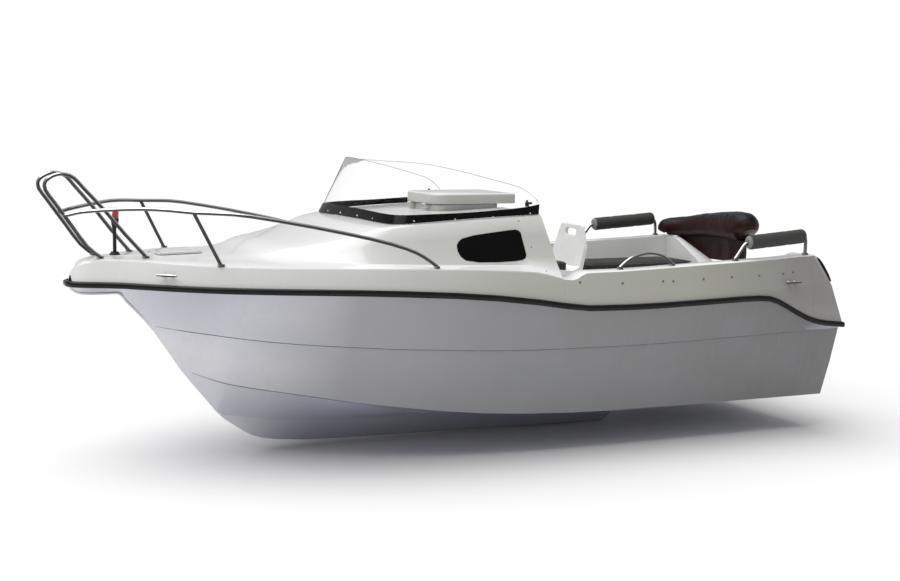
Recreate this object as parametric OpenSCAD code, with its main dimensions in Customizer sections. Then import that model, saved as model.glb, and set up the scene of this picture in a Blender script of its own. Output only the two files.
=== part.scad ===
// Small motorboat with a cuddy cabin, a wrap-round screen and an open cockpit.
// Millimetres. X runs aft, Y to starboard, Z up. Inside the modules X is counted
// from the bow nose and Z from the lowest keel; afloat() moves the whole boat so
// that the origin lies amidships on the waterline.

/* [Hull] */
// Length from the bow nose to the transom at the rub rail
hull_length = 5500; // [5200:50:5800]
// Beam over the rub rail
hull_beam = 2228; // [2120:4:2340]
// Thickness of the moulded skins
skin = 14; // [10:1:18]
// Height of the waterline over the lowest keel
waterline_z = 290; // [270:5:310]
// Height of the cockpit floor over the lowest keel
sole_z = 700; // [680:5:720]

/* [Rub rail] */
// Height of the black rub rail
rub_h = 40; // [34:2:50]
// How far the rub rail stands out
rub_d = 24; // [18:1:30]

/* [Rails] */
// Diameter of the bow rail tube
tube_d = 25; // [20:1:30]
// Diameter of the grab rail tube
grab_d = 22; // [18:1:25]
// Diameter of the foam bolsters on the coaming
foam_d = 92; // [80:2:104]

/* [Screen and windows] */
// Thickness of the windscreen sheet
screen_t = 6; // [5:1:8]
// Height of the black band at the foot of the screen
band_h = 70; // [56:2:80]
// Thickness of the side windows
window_t = 6; // [4:1:8]

/* [Hatch and door] */
// Length of the companionway lid
lid_l = 640; // [600:10:680]
// Width of the companionway lid
lid_w = 580; // [540:10:600]
// Width of the companionway door
door_w = 560; // [520:10:580]

/* [Cockpit] */
// Diameter of the steering wheel
wheel_d = 350; // [320:10:380]
// Width of the helm seat
seat_w = 470; // [430:10:490]
// Thickness of the bench cushion
cushion_t = 85; // [70:5:95]

/* [Hidden] */

$fn = 32;
seam = 0.4;
k_len = hull_length / 5500;
k_beam = hull_beam / 2228;
transom_rake = 6;
// Length and breadth factors turn the tabled sizes into the chosen ones
function X(x) = x * k_len;
function Y(y) = y * k_beam;

// Smooth curve through a table's rows: column c at station x
function row(t, x, i = 0) = i >= len(t) - 2 || x < t[i + 1][0] ? i : row(t, x, i + 1);
function rise(t, i, c) = (t[i + 1][c] - t[i][c]) / (t[i + 1][0] - t[i][0]);
function lean(t, i, c) =
  i == 0 ? rise(t, 0, c) :
  i == len(t) - 1 ? rise(t, i - 1, c) :
  rise(t, i - 1, c) * rise(t, i, c) <= 0 ? 0 :
  2 * rise(t, i - 1, c) * rise(t, i, c) / (rise(t, i - 1, c) + rise(t, i, c));
function at(t, x, c) = let (
    i = row(t, x),
    h = t[i + 1][0] - t[i][0],
    u = max(0, min(1, (x - t[i][0]) / h)),
    a = t[i][c],
    b = t[i + 1][c],
    m = lean(t, i, c) * h,
    n = lean(t, i + 1, c) * h)
  a * (2 * u * u * u - 3 * u * u + 1) + m * (u * u * u - 2 * u * u + u)
  + b * (3 * u * u - 2 * u * u * u) + n * (u * u * u - u * u);

// Lines of the hull: [station, half breadth, height]
KEEL = [[15, 14, 1184], [40, 40, 1150], [80, 70, 1136], [150, 80, 1131], [320, 60, 1128],
  [355, 40, 1108], [387, 26, 1066], [431, 18, 1022], [577, 14, 857], [752, 14, 596],
  [903, 15, 408], [1050, 18, 238], [1185, 24, 143], [1322, 30, 82], [1653, 36, 46],
  [2535, 38, 28], [3858, 38, 2], [4040, 38, 0], [4100, 40, 36], [4170, 46, 120],
  [4230, 60, 158], [5443, 90, 172]];
STRAKE = [[1040, 26, 266], [1139, 66, 258], [1348, 145, 232], [1695, 200, 214],
  [2198, 228, 206], [3011, 240, 200], [4300, 240, 194], [5443, 240, 206]];
CHINE = [[770, 20, 590], [1008, 235, 517], [1339, 480, 474], [1909, 725, 394],
  [2566, 850, 319], [2982, 882, 291], [3631, 902, 270], [4164, 908, 267], [5443, 905, 264]];
KNUCKLE = [[545, 22, 905], [660, 170, 893], [790, 292, 879], [1157, 600, 846],
  [1501, 785, 825], [2093, 945, 791], [2901, 1014, 756], [3789, 1036, 749],
  [4502, 1036, 762], [5333, 1018, 779], [5443, 1014, 782]];
SHEER = [[15, 44, 1205], [40, 92, 1205], [80, 132, 1206], [150, 180, 1207],
  [230, 232, 1208], [329, 312, 1209], [500, 482, 1208], [697, 645, 1206],
  [1000, 818, 1203], [1273, 922, 1199], [1650, 1008, 1189], [2038, 1054, 1170],
  [2431, 1078, 1143], [2843, 1088, 1096], [3167, 1090, 1047], [3371, 1090, 1027],
  [3733, 1090, 1025], [4199, 1088, 1033], [4620, 1084, 1042], [4760, 1082, 1040],
  [4880, 1080, 1010], [5000, 1078, 950], [5140, 1074, 882], [5300, 1068, 832],
  [5443, 1062, 811]];
JOINT_STATIONS = [15, 40, 80, 150, 233, 320, 431, 577, 752, 903, 1050, 1250, 1424, 1653, 1960,
  2300, 2600, 2900, 3100, 3292, 3602, 3850, 4230, 4566, 4700, 4800, 4880, 4960, 5050, 5140,
  5213, 5226, 5260, 5300, 5350, 5400, 5430, 5443];
HULL_STATIONS = [15, 26, 40, 60, 80, 110, 150, 233, 320, 340, 355, 387, 431, 500, 577, 660,
  752, 830, 903, 999, 1000, 1050, 1185, 1250, 1330, 1424, 1653, 1960, 2300, 2600, 2900, 3100,
  3292, 3602, 3850, 4040, 4070, 4100, 4140, 4170, 4230, 4566, 4700, 4800, 4880, 4960, 5050,
  5140, 5213, 5226, 5260, 5300, 5350, 5399.6, 5400, 5430, 5443];
cabin_front_x = 1000;
hull_back_x = 5400;
floor_z = 450;

// The sheer runs straight between the joint stations, so that both mouldings meet on it
function joint(x, i = 0) =
  i >= len(JOINT_STATIONS) - 2 || x < JOINT_STATIONS[i + 1] ? i : joint(x, i + 1);
function sheer(x, c) = let (
    i = joint(x),
    a = JOINT_STATIONS[i],
    b = JOINT_STATIONS[i + 1],
    u = (x - a) / (b - a))
  at(SHEER, a, c) * (1 - u) + at(SHEER, b, c) * u;

// Half breadth of a side's outline at height z, the outline running downwards
function breadth_at(side, z, i = 0) =
  i >= len(side) - 1 ? side[len(side) - 1][0] :
  side[i + 1][1] <= z ? side[i][0] + (side[i + 1][0] - side[i][0])
    * (z - side[i][1]) / min(-0.001, side[i + 1][1] - side[i][1]) :
  breadth_at(side, z, i + 1);
// Height of a side's outline at half breadth y, the outline running inboard
function height_at(side, y, i = 0) =
  i >= len(side) - 1 ? side[len(side) - 1][1] :
  side[i + 1][0] <= y ? side[i][1] + (side[i + 1][1] - side[i][1])
    * (y - side[i][0]) / min(-0.001, side[i + 1][0] - side[i][0]) :
  height_at(side, y, i + 1);

// Half breadth of an outline that runs upwards, at height z
function flank(side, z, i = 0) =
  i >= len(side) - 1 ? side[len(side) - 1][0] :
  side[i + 1][1] >= z ? side[i][0] + (side[i + 1][0] - side[i][0])
    * (z - side[i][1]) / max(0.001, side[i + 1][1] - side[i][1]) :
  flank(side, z, i + 1);

// One side of the hull at a station, from the sheer down to the keel
function hull_side(x) = let (
    yk = at(KEEL, x, 1),
    zk = at(KEEL, x, 2),
    has_strake = x >= STRAKE[0][0],
    ys = has_strake ? max(yk + 4, at(STRAKE, x, 1)) : yk + 3,
    zs = has_strake ? max(zk + 8, at(STRAKE, x, 2)) : zk + 4,
    has_chine = x >= CHINE[0][0],
    yc = has_chine ? max(ys + 9, at(CHINE, x, 1)) : ys + 5,
    zc = has_chine ? max(zs + 8, at(CHINE, x, 2)) : zs + 6,
    has_knuckle = x >= KNUCKLE[0][0],
    yn = has_knuckle ? max(yc + 4, at(KNUCKLE, x, 1)) : yc + 4,
    zn = has_knuckle ? at(KNUCKLE, x, 2) : zc + 5,
    yr = sheer(x, 1),
    zr = sheer(x, 2),
    flare = max(0, min(1, (2000 - x) / 1200)) * max(0, min(1, (x - 400) / 300)) * 34)
  [[yr, zr], [(yr + yn) / 2 - flare + 3, (zr + zn) / 2], [yn + 7, zn + 3], [yn, zn - 3],
   [(yn * 0.5 + yc * 0.5) + 10 - flare * 0.3, (zn + zc) / 2], [yc + 4, zc + 4],
   [yc, zc], [ys + 5, zs + 4], [ys, zs], [yk, zk]];

// Stations near the stern lean aft with height, to the raked transom
stern_x = 5213;
rail_low_z = 820;
function lean_aft(x, z) = X(x) + max(0, min(1, (x - stern_x) / 230))
  * (z < rail_low_z ? tan(transom_rake) * (z - 270)
    : tan(transom_rake) * (rail_low_z - 270) - 0.41 * (z - rail_low_z));
function stand(x, yz) = [lean_aft(x, yz[1]), Y(yz[0]), yz[1]];

notch_z = 670;
notch_half = 388;
function hull_ring(x) = let (
    side = hull_side(x),
    zr = sheer(x, 2),
    notch = x >= hull_back_x,
    hollow = x >= cabin_front_x && !notch,
    zf = hollow ? max(floor_z, at(KEEL, x, 2) + 90) : notch ? notch_z : zr - 6,
    yt = hollow ? sheer(x, 1) - skin : notch ? notch_half : 12,
    yf = hollow ? breadth_at(side, zf) - skin * 2 : notch ? notch_half - 8 : 2,
    zm = hollow ? min(at(KNUCKLE, x, 2) + 60, zr - 25) : (zr + zf) / 2,
    ym = hollow ? breadth_at(side, zm) - skin - 4 : (yt + yf) / 2,
    inner = [[yt, zr], [ym, zm], [yf, zf]])
  concat([for (p = side) stand(x, [-p[0], p[1]])],
    [for (i = [len(side) - 1:-1:0]) stand(x, side[i])],
    [for (p = inner) stand(x, p)],
    [for (i = [len(inner) - 1:-1:0]) stand(x, [-inner[i][0], inner[i][1]])]);

// A closed skin over rings that all have the same number of points
module loft(rings) {
  n = len(rings[0]);
  m = len(rings);
  polyhedron(
    points = [for (r = rings) each r],
    faces = concat(
      [[for (i = [0:n - 1]) i]],
      [[for (i = [n - 1:-1:0]) (m - 1) * n + i]],
      [for (j = [0:m - 2]) for (i = [0:n - 1]) let (
          a = j * n + i,
          b = j * n + (i + 1) % n,
          c = b + n,
          d = a + n) each [[a, d, c], [a, c, b]]]));
}

// A round tube along a path of points
function unit(v) = v / norm(v);
function tube_ring(path, i, r, sides) = let (
    last = len(path) - 1,
    t = unit(path[min(i + 1, last)] - path[max(i - 1, 0)]),
    ref = abs(t[1]) > 0.9 ? [1, 0, 0] : [0, 1, 0],
    u = unit(cross(t, ref)),
    v = cross(t, u))
  [for (k = [0:sides - 1]) path[i] + r * (cos(k * 360 / sides) * u + sin(k * 360 / sides) * v)];
module tube(path, r, sides = 10) {
  loft([for (i = [0:len(path) - 1]) tube_ring(path, i, r, sides)]);
}

// Points of a smooth curve through a path's corners
function bend(a, b, c, d, u) = 0.5 * (2 * b + (c - a) * u + (2 * a - 5 * b + 4 * c - d) * u * u
  + (3 * b - a - 3 * c + d) * u * u * u);
function smooth(p, steps) = let (last = len(p) - 1)
  concat([for (i = [0:last - 1]) for (s = [0:steps - 1])
    bend(p[max(i - 1, 0)], p[i], p[i + 1], p[min(i + 2, last)], s / steps)], [p[last]]);
function port(p) = [for (q = p) [q[0], -q[1], q[2]]];

module afloat() {
  translate([-X(2750), 0, -waterline_z]) children();
}

// A cylinder between two points
module rod(a, b, r) {
  d = b - a;
  translate(a) rotate([0, acos(d[2] / norm(d)), atan2(d[1], d[0])]) cylinder(r = r, h = norm(d));
}

// A box with rounded upright edges
module slab(size, r) {
  linear_extrude(size[2])
    offset(r) offset(-r) translate([-size[0] / 2, -size[1] / 2]) square([size[0], size[1]]);
}

module hull_moulding() color("whitesmoke") afloat() {
  loft([for (x = HULL_STATIONS) hull_ring(x)]);
}

// Deck edge: [station, half breadth, height]
DECK = [[30, 30, 1262], [48, 50, 1300], [70, 66, 1326], [102, 88, 1346], [150, 124, 1358],
  [233, 176, 1364], [320, 250, 1367], [408, 335, 1367], [536, 470, 1362], [712, 618, 1357],
  [834, 702, 1354], [1280, 884, 1348], [1700, 968, 1341], [2171, 1024, 1330],
  [2600, 1046, 1311], [2900, 1054, 1290], [3020, 1056, 1262], [3100, 1058, 1240]];
// Raised trunk and cabin: [station, foot breadth, foot height, shoulder breadth,
// shoulder height, crown height]
TRUNK = [[30, 20, 1264, 10, 1265, 1266], [102, 60, 1350, 30, 1353, 1355],
  [233, 130, 1370, 60, 1375, 1378], [536, 380, 1371, 200, 1380, 1386],
  [834, 560, 1368, 340, 1382, 1392], [1100, 650, 1366, 420, 1386, 1401],
  [1190, 672, 1364, 480, 1402, 1424], [1300, 706, 1361, 545, 1434, 1456],
  [1424, 745, 1359, 585, 1452, 1476], [1560, 775, 1357, 640, 1476, 1500],
  [1700, 810, 1355, 690, 1508, 1530], [1800, 832, 1353, 716, 1540, 1560],
  [1880, 848, 1351, 734, 1566, 1586], [2030, 875, 1348, 762, 1590, 1608],
  [2224, 905, 1343, 792, 1608, 1628], [2600, 945, 1334, 806, 1632, 1652],
  [3100, 966, 1320, 812, 1653, 1672]];
DECK_STATIONS = [30, 40, 50, 62, 80, 110, 150, 203, 233, 320, 431, 470, 545, 577, 752, 832, 903,
  1050, 1130, 1190, 1245, 1300, 1360, 1424, 1560, 1653, 1760, 1830, 1900, 1960, 2030, 2185, 2300, 2450, 2600,
  2750, 2900, 2980, 3030, 3065, 3100];

// One side of the deck's outer face at a station, from the sheer up to the crown
function deck_side(x) = let (
    yr = sheer(x, 1),
    zr = sheer(x, 2) + seam,
    ye = min(at(DECK, x, 1), yr - 3),
    ze = at(DECK, x, 2),
    yf = at(TRUNK, x, 1),
    zf = at(TRUNK, x, 2),
    ys = at(TRUNK, x, 3),
    zs = at(TRUNK, x, 4),
    zc = at(TRUNK, x, 5),
    e = min(10, (ye - yf) / 4))
  [[yr, zr], [ye + e * 0.7, ze - e * 1.6], [ye, ze - e * 0.4], [ye - e * 1.2, ze],
   [yf + e, zf], [yf + (ys - yf) * 0.12, zf + (zs - zf) * 0.16],
   [yf + (ys - yf) * 0.55, zf + (zs - zf) * 0.58], [ys + (yf - ys) * 0.1, zs - (zs - zf) * 0.06],
   [ys - 6, zs + (zc - zs) * 0.12], [ys - 34, zs + (zc - zs) * 0.3], [ys * 0.6, zs + (zc - zs) * 0.7],
   [ys * 0.3, zs + (zc - zs) * 0.93]];
// The cabin's aft edge leans forward with height
function cabin_lean(x, z) = X(x) - max(0, min(1, (x - 2700) / 400)) * 0.16 * max(0, z - 1330);
under_picks = [0, 1, 3, 4, 6, 8, 11];
function deck_ring(x) = let (
    s = deck_side(x),
    t = x < 380 ? min(skin, 9) : skin,
    n = len(s) - 1,
    k = len(under_picks) - 1,
    crown = at(TRUNK, x, 5),
    up = [for (p = s) [cabin_lean(x, p[1]), Y(p[0]), p[1]]],
    down = [for (i = under_picks) let (
        p = s[i],
        y = max(2, p[0] - t * (p[1] < crown - 120 ? 1 : 0.6)),
        z = i == 0 ? p[1] : p[1] - t)
      [cabin_lean(x, p[1]), Y(y), z]])
  concat(up, [[cabin_lean(x, crown), 0, crown]],
    [for (i = [n:-1:0]) [up[i][0], -up[i][1], up[i][2]]],
    [for (p = down) [p[0], -p[1], p[2]]], [[cabin_lean(x, crown), 0, crown - t]],
    [for (i = [k:-1:0]) down[i]]);

// Highest point of the deck under a round foot, and of the coaming
function deck_top(x, y, r) = max([for (dx = [-r, 0, r]) for (dy = [-r, 0, r])
  height_at(deck_side(x + dx), abs(y + dy))]);

// Side window: [station, sill height, head height]
WINDOW = [[2386, 1426, 1462], [2400, 1393, 1484], [2430, 1367, 1506], [2520, 1354, 1526],
  [2650, 1351, 1541], [2790, 1355, 1554], [2845, 1361, 1558], [2872, 1374, 1551],
  [2884, 1394, 1536]];
window_proud = 3;
// A slice of the cabin side between two depths, inside the window outline grown by a margin
module window_slice(outer, inner, grow) {
  last = len(WINDOW) - 1;
  loft([for (i = [0:last]) let (
      w = WINDOW[i],
      x = w[0] + (i == 0 ? -grow : i == last ? grow : 0),
      z = [for (k = [0:3]) w[1] - grow + (w[2] - w[1] + 2 * grow) * k / 3],
      y = [for (k = [0:3]) flank(deck_side(x), z[k])])
    concat([for (k = [0:3]) [cabin_lean(x, z[k]), Y(y[k]) + outer, z[k]]],
      [for (k = [3:-1:0]) [cabin_lean(x, z[k]), Y(y[k]) + inner, z[k]]])]);
}

// Locker lid and hatch places
locker_x = 720;
locker_l = 300;
locker_w = 330;
locker_tilt = 1.25;
locker_z = 1390.6;
lid_front_x = 2500;
lid_z = 1698;
lid_h = 72;
coaming_back_x = 3026;
coaming_w = lid_w - 44;
module foredeck_cabin() color("ivory") afloat() {
  difference() {
    loft([for (x = DECK_STATIONS) deck_ring(x)]);
    for (s = [0, 1]) mirror([0, s, 0]) window_slice(40, -60, 0);
    translate([X(lid_front_x) + 22 - seam + 400, 0, 1560])
      slab([800, coaming_w + 2 * seam, 200], 70 + seam);
    translate([X(locker_x) - locker_l / 2 + 25, -locker_w / 2 + 25, 1300])
      cube([locker_l - 50, locker_w - 50, 200]);
  }
}

// Coaming of the cockpit: [station, knuckle breadth, knuckle height, outer edge breadth,
// outer edge height, inner edge breadth, wall foot breadth]
COAMING = [[3101, 1087, 1100, 1060, 1238, 900, 856], [3180, 1087, 1092, 1056, 1230, 900, 862],
  [3292, 1086, 1080, 1046, 1272, 905, 868], [3602, 1086, 1070, 1038, 1274, 910, 876],
  [4104, 1086, 1080, 1031, 1291, 908, 880], [4566, 1084, 1098, 1023, 1305, 900, 876],
  [4839, 1080, 1110, 1015, 1314, 895, 872], [5200, 1068, 1122, 1002, 1330, 885, 862],
  [5375, 1062, 1126, 990, 1332, 870, 850], [5443, 1056, 1127, 976, 1322, 860, 840]];
COAMING_STATIONS = [3101, 3140, 3180, 3215, 3250, 3292, 3371, 3490, 3602, 3850, 4230, 4566,
  4700, 4800, 4880, 4960, 5050, 5140, 5212];
function coaming_side(x) = let (
    yr = sheer(x, 1),
    zr = sheer(x, 2) + seam,
    yk = min(at(COAMING, x, 1), yr - 5),
    zk = max(at(COAMING, x, 2), zr + 30),
    ye = at(COAMING, x, 3),
    ze = at(COAMING, x, 4),
    yi = at(COAMING, x, 5))
  [[yr, zr], [yk + 3, zk - 16], [yk - 2, zk], [ye + 5, ze - 22], [ye, ze - 7], [ye - 14, ze],
   [yi + 18, ze + 3], [yi + 4, ze - 3], [yi, ze - 18]];
function coaming_top(x, y, r) = max([for (dx = [-r, 0, r]) for (dy = [-r, 0, r])
  height_at(coaming_side(x + dx), y + dy)]) + 0.5;
function coaming_under(x, t) = let (
    s = coaming_side(x),
    yi = at(COAMING, x, 5))
  [[s[0][0] - t, s[0][1]], [s[1][0] - t, s[1][1] - 2], [s[2][0] - t, s[2][1] - 2],
   [s[3][0] - t, s[3][1] - 2], [s[4][0] - t, s[4][1] - t * 0.7], [s[5][0] - t * 0.5, s[5][1] - t],
   [yi + 26, s[6][1] - t], [yi + t + 6, s[7][1] - t], [yi + t, s[8][1] - 6]];
function cross_ring(x, top, under) = let (n = len(top) - 1, m = len(under) - 1)
  concat([for (p = top) stand(x, p)],
    [for (i = [n:-1:0]) stand(x, [-top[i][0], top[i][1]])],
    [for (p = under) stand(x, [-p[0], p[1]])],
    [for (i = [m:-1:0]) stand(x, under[i])]);
function cockpit_ring(x) = let (
    t = skin,
    yb = at(COAMING, x, 6))
  cross_ring(x,
    concat(coaming_side(x), [[yb + 4, sole_z + 50], [yb - 8, sole_z + 16], [yb - 40, sole_z]]),
    concat(coaming_under(x, t), [[yb + t + 4, sole_z + 46], [yb + t - 6, sole_z + 4], [yb - 34, sole_z - t]]));

module cockpit_moulding() color("ivory") afloat() {
  loft([for (x = COAMING_STATIONS) cockpit_ring(x)]);
}

// Stern quarters with the well for the motor between them
STERN_STATIONS = [5213, 5226, 5226.6, 5260, 5300, 5350, 5400, 5430, 5443];
well_floor_z = 700;
well_half = 340;
function stern_top(x) = let (
    s = coaming_side(x),
    e = s[5],
    drop = max(0, (x - 5380) / 63) * 10)
  concat([for (i = [0:5]) s[i]],
    [[770, e[1] - 1 - drop], [735, e[1] - 12 - drop], [430, 1172 - drop], [392, 1150 - drop],
     [well_half + 12, 1120 - drop], [well_half, well_floor_z + 30], [well_half - 30, well_floor_z]]);
function stern_under(x) = let (s = coaming_side(x), t = skin, e = s[5][1])
  x < 5226.3 ?
    [for (i = [0:12]) i < 9 ? [s[0][0] - t - i * 8, s[0][1] - i * 1.5 - (i > 0 ? 2 : 0)]
      : [890 - (i - 9) * 100, sole_z + 2 - (i - 9) * 0.3]] :
    concat(coaming_under(x, t), [[742, e - 26], [438, 1156], [well_half + t + 4, 1110],
      [well_half + t - 12, well_floor_z - t + 1]]);
function stern_ring(x) = cross_ring(x, stern_top(x), stern_under(x));
module stern_quarters() color("ivory") afloat() {
  loft([for (x = STERN_STATIONS) stern_ring(x)]);
}

// Bulkhead and door lie in one plane that leans forward
bulk_lean = 7;
bulk_x = 3098.8;
bulk_t = 18;
door_sill = 40;
module in_bulkhead() {
  translate([X(bulk_x), 0, sole_z]) rotate([0, -bulk_lean, 0]) children();
}
door_head = 122;
door_h = TRUNK[len(TRUNK) - 1][5] - sole_z - door_head;
module cabin_bulkhead() color("ivory") afloat() in_bulkhead() {
  h = door_h;
  w = door_w / 2;
  translate([-bulk_t, 0, 0]) rotate([90, 0, 90]) linear_extrude(bulk_t) difference() {
    polygon([[-Y(820), -20], [Y(820), -20], [Y(915), 330], [Y(925), 600], [Y(800), h + 38],
      [w + 20, h + 55], [w, h + 35], [-w, h + 35], [-w - 20, h + 55], [-Y(800), h + 38],
      [-Y(925), 600], [-Y(915), 330]]);
    translate([-w + 20, door_sill + 15]) square([door_w - 40, door_h - 90]);
  }
  for (z = [119.6, door_h - 129.6])
    translate([6 + door_t / 2, door_hinge_y, door_sill + z]) cylinder(r = 8, h = 20);
  for (z = [119.6, door_h - 129.6])
    translate([-2, door_hinge_y - 8, door_sill + z]) cube([18, 16, 20]);
}
door_t = 20;
door_hinge_y = -(door_w / 2 + 14);
module companion_door() color("ivory") afloat() in_bulkhead() {
  translate([6, 0, door_sill]) rotate([90, 0, 90])
    linear_extrude(door_t) offset(20) offset(-20)
      translate([-door_w / 2, 0]) square([door_w, door_h - 60]);
  for (z = [140, door_h - 190])
    translate([6 + door_t / 2, door_hinge_y, door_sill + z]) cylinder(r = 8, h = 60);
  for (z = [150, door_h - 180])
    translate([6 + door_t - 5, door_hinge_y, door_sill + z]) cube([4, 60, 40]);
  translate([6 + door_t, door_w / 2 - 60, door_sill + 400]) rotate([0, 90, 0])
    cylinder(r = 22, h = 12);
}

// The rub rail runs from the port quarter round the nose to the starboard quarter
function rub_side(s) = [for (x = JOINT_STATIONS) let (z = at(SHEER, x, 2))
  [lean_aft(x, z), s * Y(at(SHEER, x, 1)), z]];
rub_nose = [[X(13.5), 20, 1205], [X(13), 0, 1205]];
function back(p) = [for (i = [len(p) - 1:-1:0]) p[i]];
rub_path = concat(back(rub_side(-1)), port(rub_nose), [rub_nose[0]], rub_side(1));
function rub_ring(i) = let (
    last = len(rub_path) - 1,
    d = rub_path[min(i + 1, last)] - rub_path[max(i - 1, 0)],
    o = unit([-d[1], d[0], 0]),
    p = rub_path[i],
    h = rub_h / 2)
  [for (q = [[rub_d * 0.5, -h], [rub_d * 0.9, -h * 0.7], [rub_d, 0], [rub_d * 0.9, h * 0.7],
      [rub_d * 0.5, h], [seam * 2, h], [seam * 2, -h]])
    [p[0] + o[0] * q[0], p[1] + o[1] * q[0], p[2] + q[1]]];
module rub_rail() color("black") afloat() {
  loft([for (i = [0:len(rub_path) - 1]) rub_ring(i)]);
}

module anchor_locker_lid() color("ivory") afloat() {
  translate([X(locker_x), 0, locker_z]) rotate([0, -locker_tilt, 0]) {
    difference() {
      slab([locker_l, locker_w, 12], 40);
      translate([locker_l / 2 - 40, 0, 7]) cylinder(r = 20, h = 20);
    }
    for (y = [-90, 90])
      translate([-locker_l / 2 - 2, y - 22, 8]) rotate([-90, 0, 0]) cylinder(r = 6, h = 44);
  }
}

// Pulpit hoops and bow rails
hoop_path = [[203, 100, 1381], [120, 106, 1450], [20, 110, 1590], [-90, 112, 1745],
  [-138, 112, 1815], [-142, 113, 1862], [-112, 114, 1893], [-64, 115, 1914], [-10, 118, 1912],
  [40, 124, 1890], [100, 136, 1822], [217, 165, 1690], [345, 196, 1530], [470, 226, 1387]];
rail_path = [[-25, 125.6, 1653], [-18, 142, 1656], [14, 158, 1663], [75, 176, 1677], [230, 300, 1696],
  [393, 452, 1708], [540, 570, 1704], [664, 668, 1694], [830, 735, 1688], [995, 780, 1672],
  [1369, 868, 1606], [1748, 940, 1526], [1972, 985, 1462], [2090, 1000, 1408], [2185, 1003, 1343]];
function placed(p) = [for (q = p) [X(q[0]), Y(q[1]), q[2]]];
module deck_foot(x, y, r = 24) {
  translate([X(x), Y(y), deck_top(x, y, r)]) cylinder(r = r, h = 11);
}
module pulpit_hoop() {
  tube(smooth(placed(hoop_path), 2), tube_d / 2);
  deck_foot(203, 100);
  deck_foot(470, 226);
}
module bow_rail() {
  tube(smooth(placed(rail_path), 2), tube_d / 2);
  rod([X(664), Y(668), 1691], [X(832), Y(688), 1360], tube_d / 2 - 0.8);
  deck_foot(832, 688);
  deck_foot(2185, 1003, 20);
}
module pulpit_hoop_port() color("silver") afloat() mirror([0, 1, 0]) pulpit_hoop();
module pulpit_hoop_starboard() color("silver") afloat() pulpit_hoop();
module bow_rail_port() color("silver") afloat() mirror([0, 1, 0]) bow_rail();
module bow_rail_starboard() color("silver") afloat() bow_rail();

// Bow light: a dark base and head with a two-sided lens
light_x = 322;
light_z = deck_top(light_x, 0, 36) + 0.4;
module nav_light_body() color("dimgray") afloat() {
  translate([X(light_x), 0, light_z]) {
    cylinder(r1 = 36, r2 = 24, h = 20);
    cylinder(r = 12, h = 180);
    translate([-2, 0, 165]) rotate([0, 5, 0]) {
      cylinder(r1 = 12, r2 = 25, h = 50);
      translate([0, 0, 50]) cylinder(r = 25, h = 22);
      cylinder(r = 8, h = 100);
    }
  }
}
module nav_light_lens() color("red") afloat() {
  translate([X(light_x) - 2, 0, light_z + 165]) rotate([0, 5, 0]) translate([0, 0, 72 + seam])
    difference() {
      cylinder(r1 = 23, r2 = 20, h = 48);
      translate([0, 0, -1]) cylinder(r = 8 + seam, h = 30);
    }
}

// Horn cleat lying fore and aft, its base facing outboard
module cleat() {
  for (x = [-28, 28]) translate([x, 0, 0]) rotate([-90, 0, 0]) cylinder(r1 = 13, r2 = 8, h = 26);
  translate([-70, 30, 0]) rotate([0, 90, 0]) cylinder(r1 = 6, r2 = 9, h = 42);
  translate([-28, 30, 0]) rotate([0, 90, 0]) cylinder(r = 9, h = 56);
  translate([28, 30, 0]) rotate([0, 90, 0]) cylinder(r1 = 9, r2 = 6, h = 42);
}
module cleat_bow() translate([X(545), Y(flank(deck_side(545), 1278)) + 0.6, 1290])
  rotate([0, 0, 42]) cleat();
module cleat_stern() translate([X(5003), Y(flank(coaming_side(4975), 1133)) + 0.6, 1146]) cleat();
module cleat_bow_port() color("silver") afloat() mirror([0, 1, 0]) cleat_bow();
module cleat_bow_starboard() color("silver") afloat() cleat_bow();
module cleat_stern_port() color("silver") afloat() mirror([0, 1, 0]) cleat_stern();
module cleat_stern_starboard() color("silver") afloat() cleat_stern();

// Screen from its middle to its aft end: [step, foot station, foot breadth, foot height,
// top station, top breadth, top height]
SCREEN = [[0, 1972, 0, 0, 2055, 0, 2003], [1, 1975, 300, 0, 2068, 220, 2003],
  [2, 1986, 560, 0, 2112, 420, 2002], [3, 2012, 690, 0, 2180, 560, 2000],
  [4, 2070, 748, 0, 2300, 652, 1985], [5, 2215, 780, 0, 2490, 706, 1945],
  [6, 2450, 794, 0, 2745, 738, 1882], [7, 2750, 800, 0, 2935, 764, 1826],
  [8, 3034, 804, 0, 3046, 792, 1738]];
function foot_z(x, y) = max([for (dx = [-12, 0, 12]) for (dy = [-9, 0])
  height_at(deck_side(x + dx), abs(y) + dy)]) + 0.8;
function screen_at(s, u) = let (a = abs(s), g = s < 0 ? -1 : 1)
  [X(at(SCREEN, a, 1)) * (1 - u) + X(at(SCREEN, a, 4)) * u,
   g * Y(at(SCREEN, a, 2) * (1 - u) + at(SCREEN, a, 5) * u),
   foot_z(at(SCREEN, a, 1), at(SCREEN, a, 2)) * (1 - u) + at(SCREEN, a, 6) * u];
function screen_out(s) = let (d = screen_at(min(8, s + 0.2), 0) - screen_at(max(-8, s - 0.2), 0))
  unit([-d[1], d[0], 0]);
// A strip of the screen between two heights, set off from its surface
function screen_ring(s, lo, hi, off, t) = let (
    o = screen_out(s),
    a = screen_at(s, lo),
    b = screen_at(s, hi))
  [a + o * (off + t), b + o * (off + t), b + o * off, a + o * off];
screen_steps = [for (i = [-32:32]) i / 4];
module windscreen() color([0.8, 0.9, 0.95, 0.3]) afloat() {
  loft([for (s = screen_steps) screen_ring(s, 0, 1, 0, screen_t)]);
}
function band_top(s) = band_h / norm(screen_at(s, 1) - screen_at(s, 0));
module screen_band() color("black") afloat() {
  loft([for (s = screen_steps) screen_ring(s, 0.003, min(0.9, band_top(s)), screen_t + 2.3, 3)]);
}
module side_window_starboard() color("black") afloat() {
  window_slice(window_proud, window_proud - window_t, -seam);
}
module side_window_port() color("black") afloat() mirror([0, 1, 0])
  window_slice(window_proud, window_proud - window_t, -seam);

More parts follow.
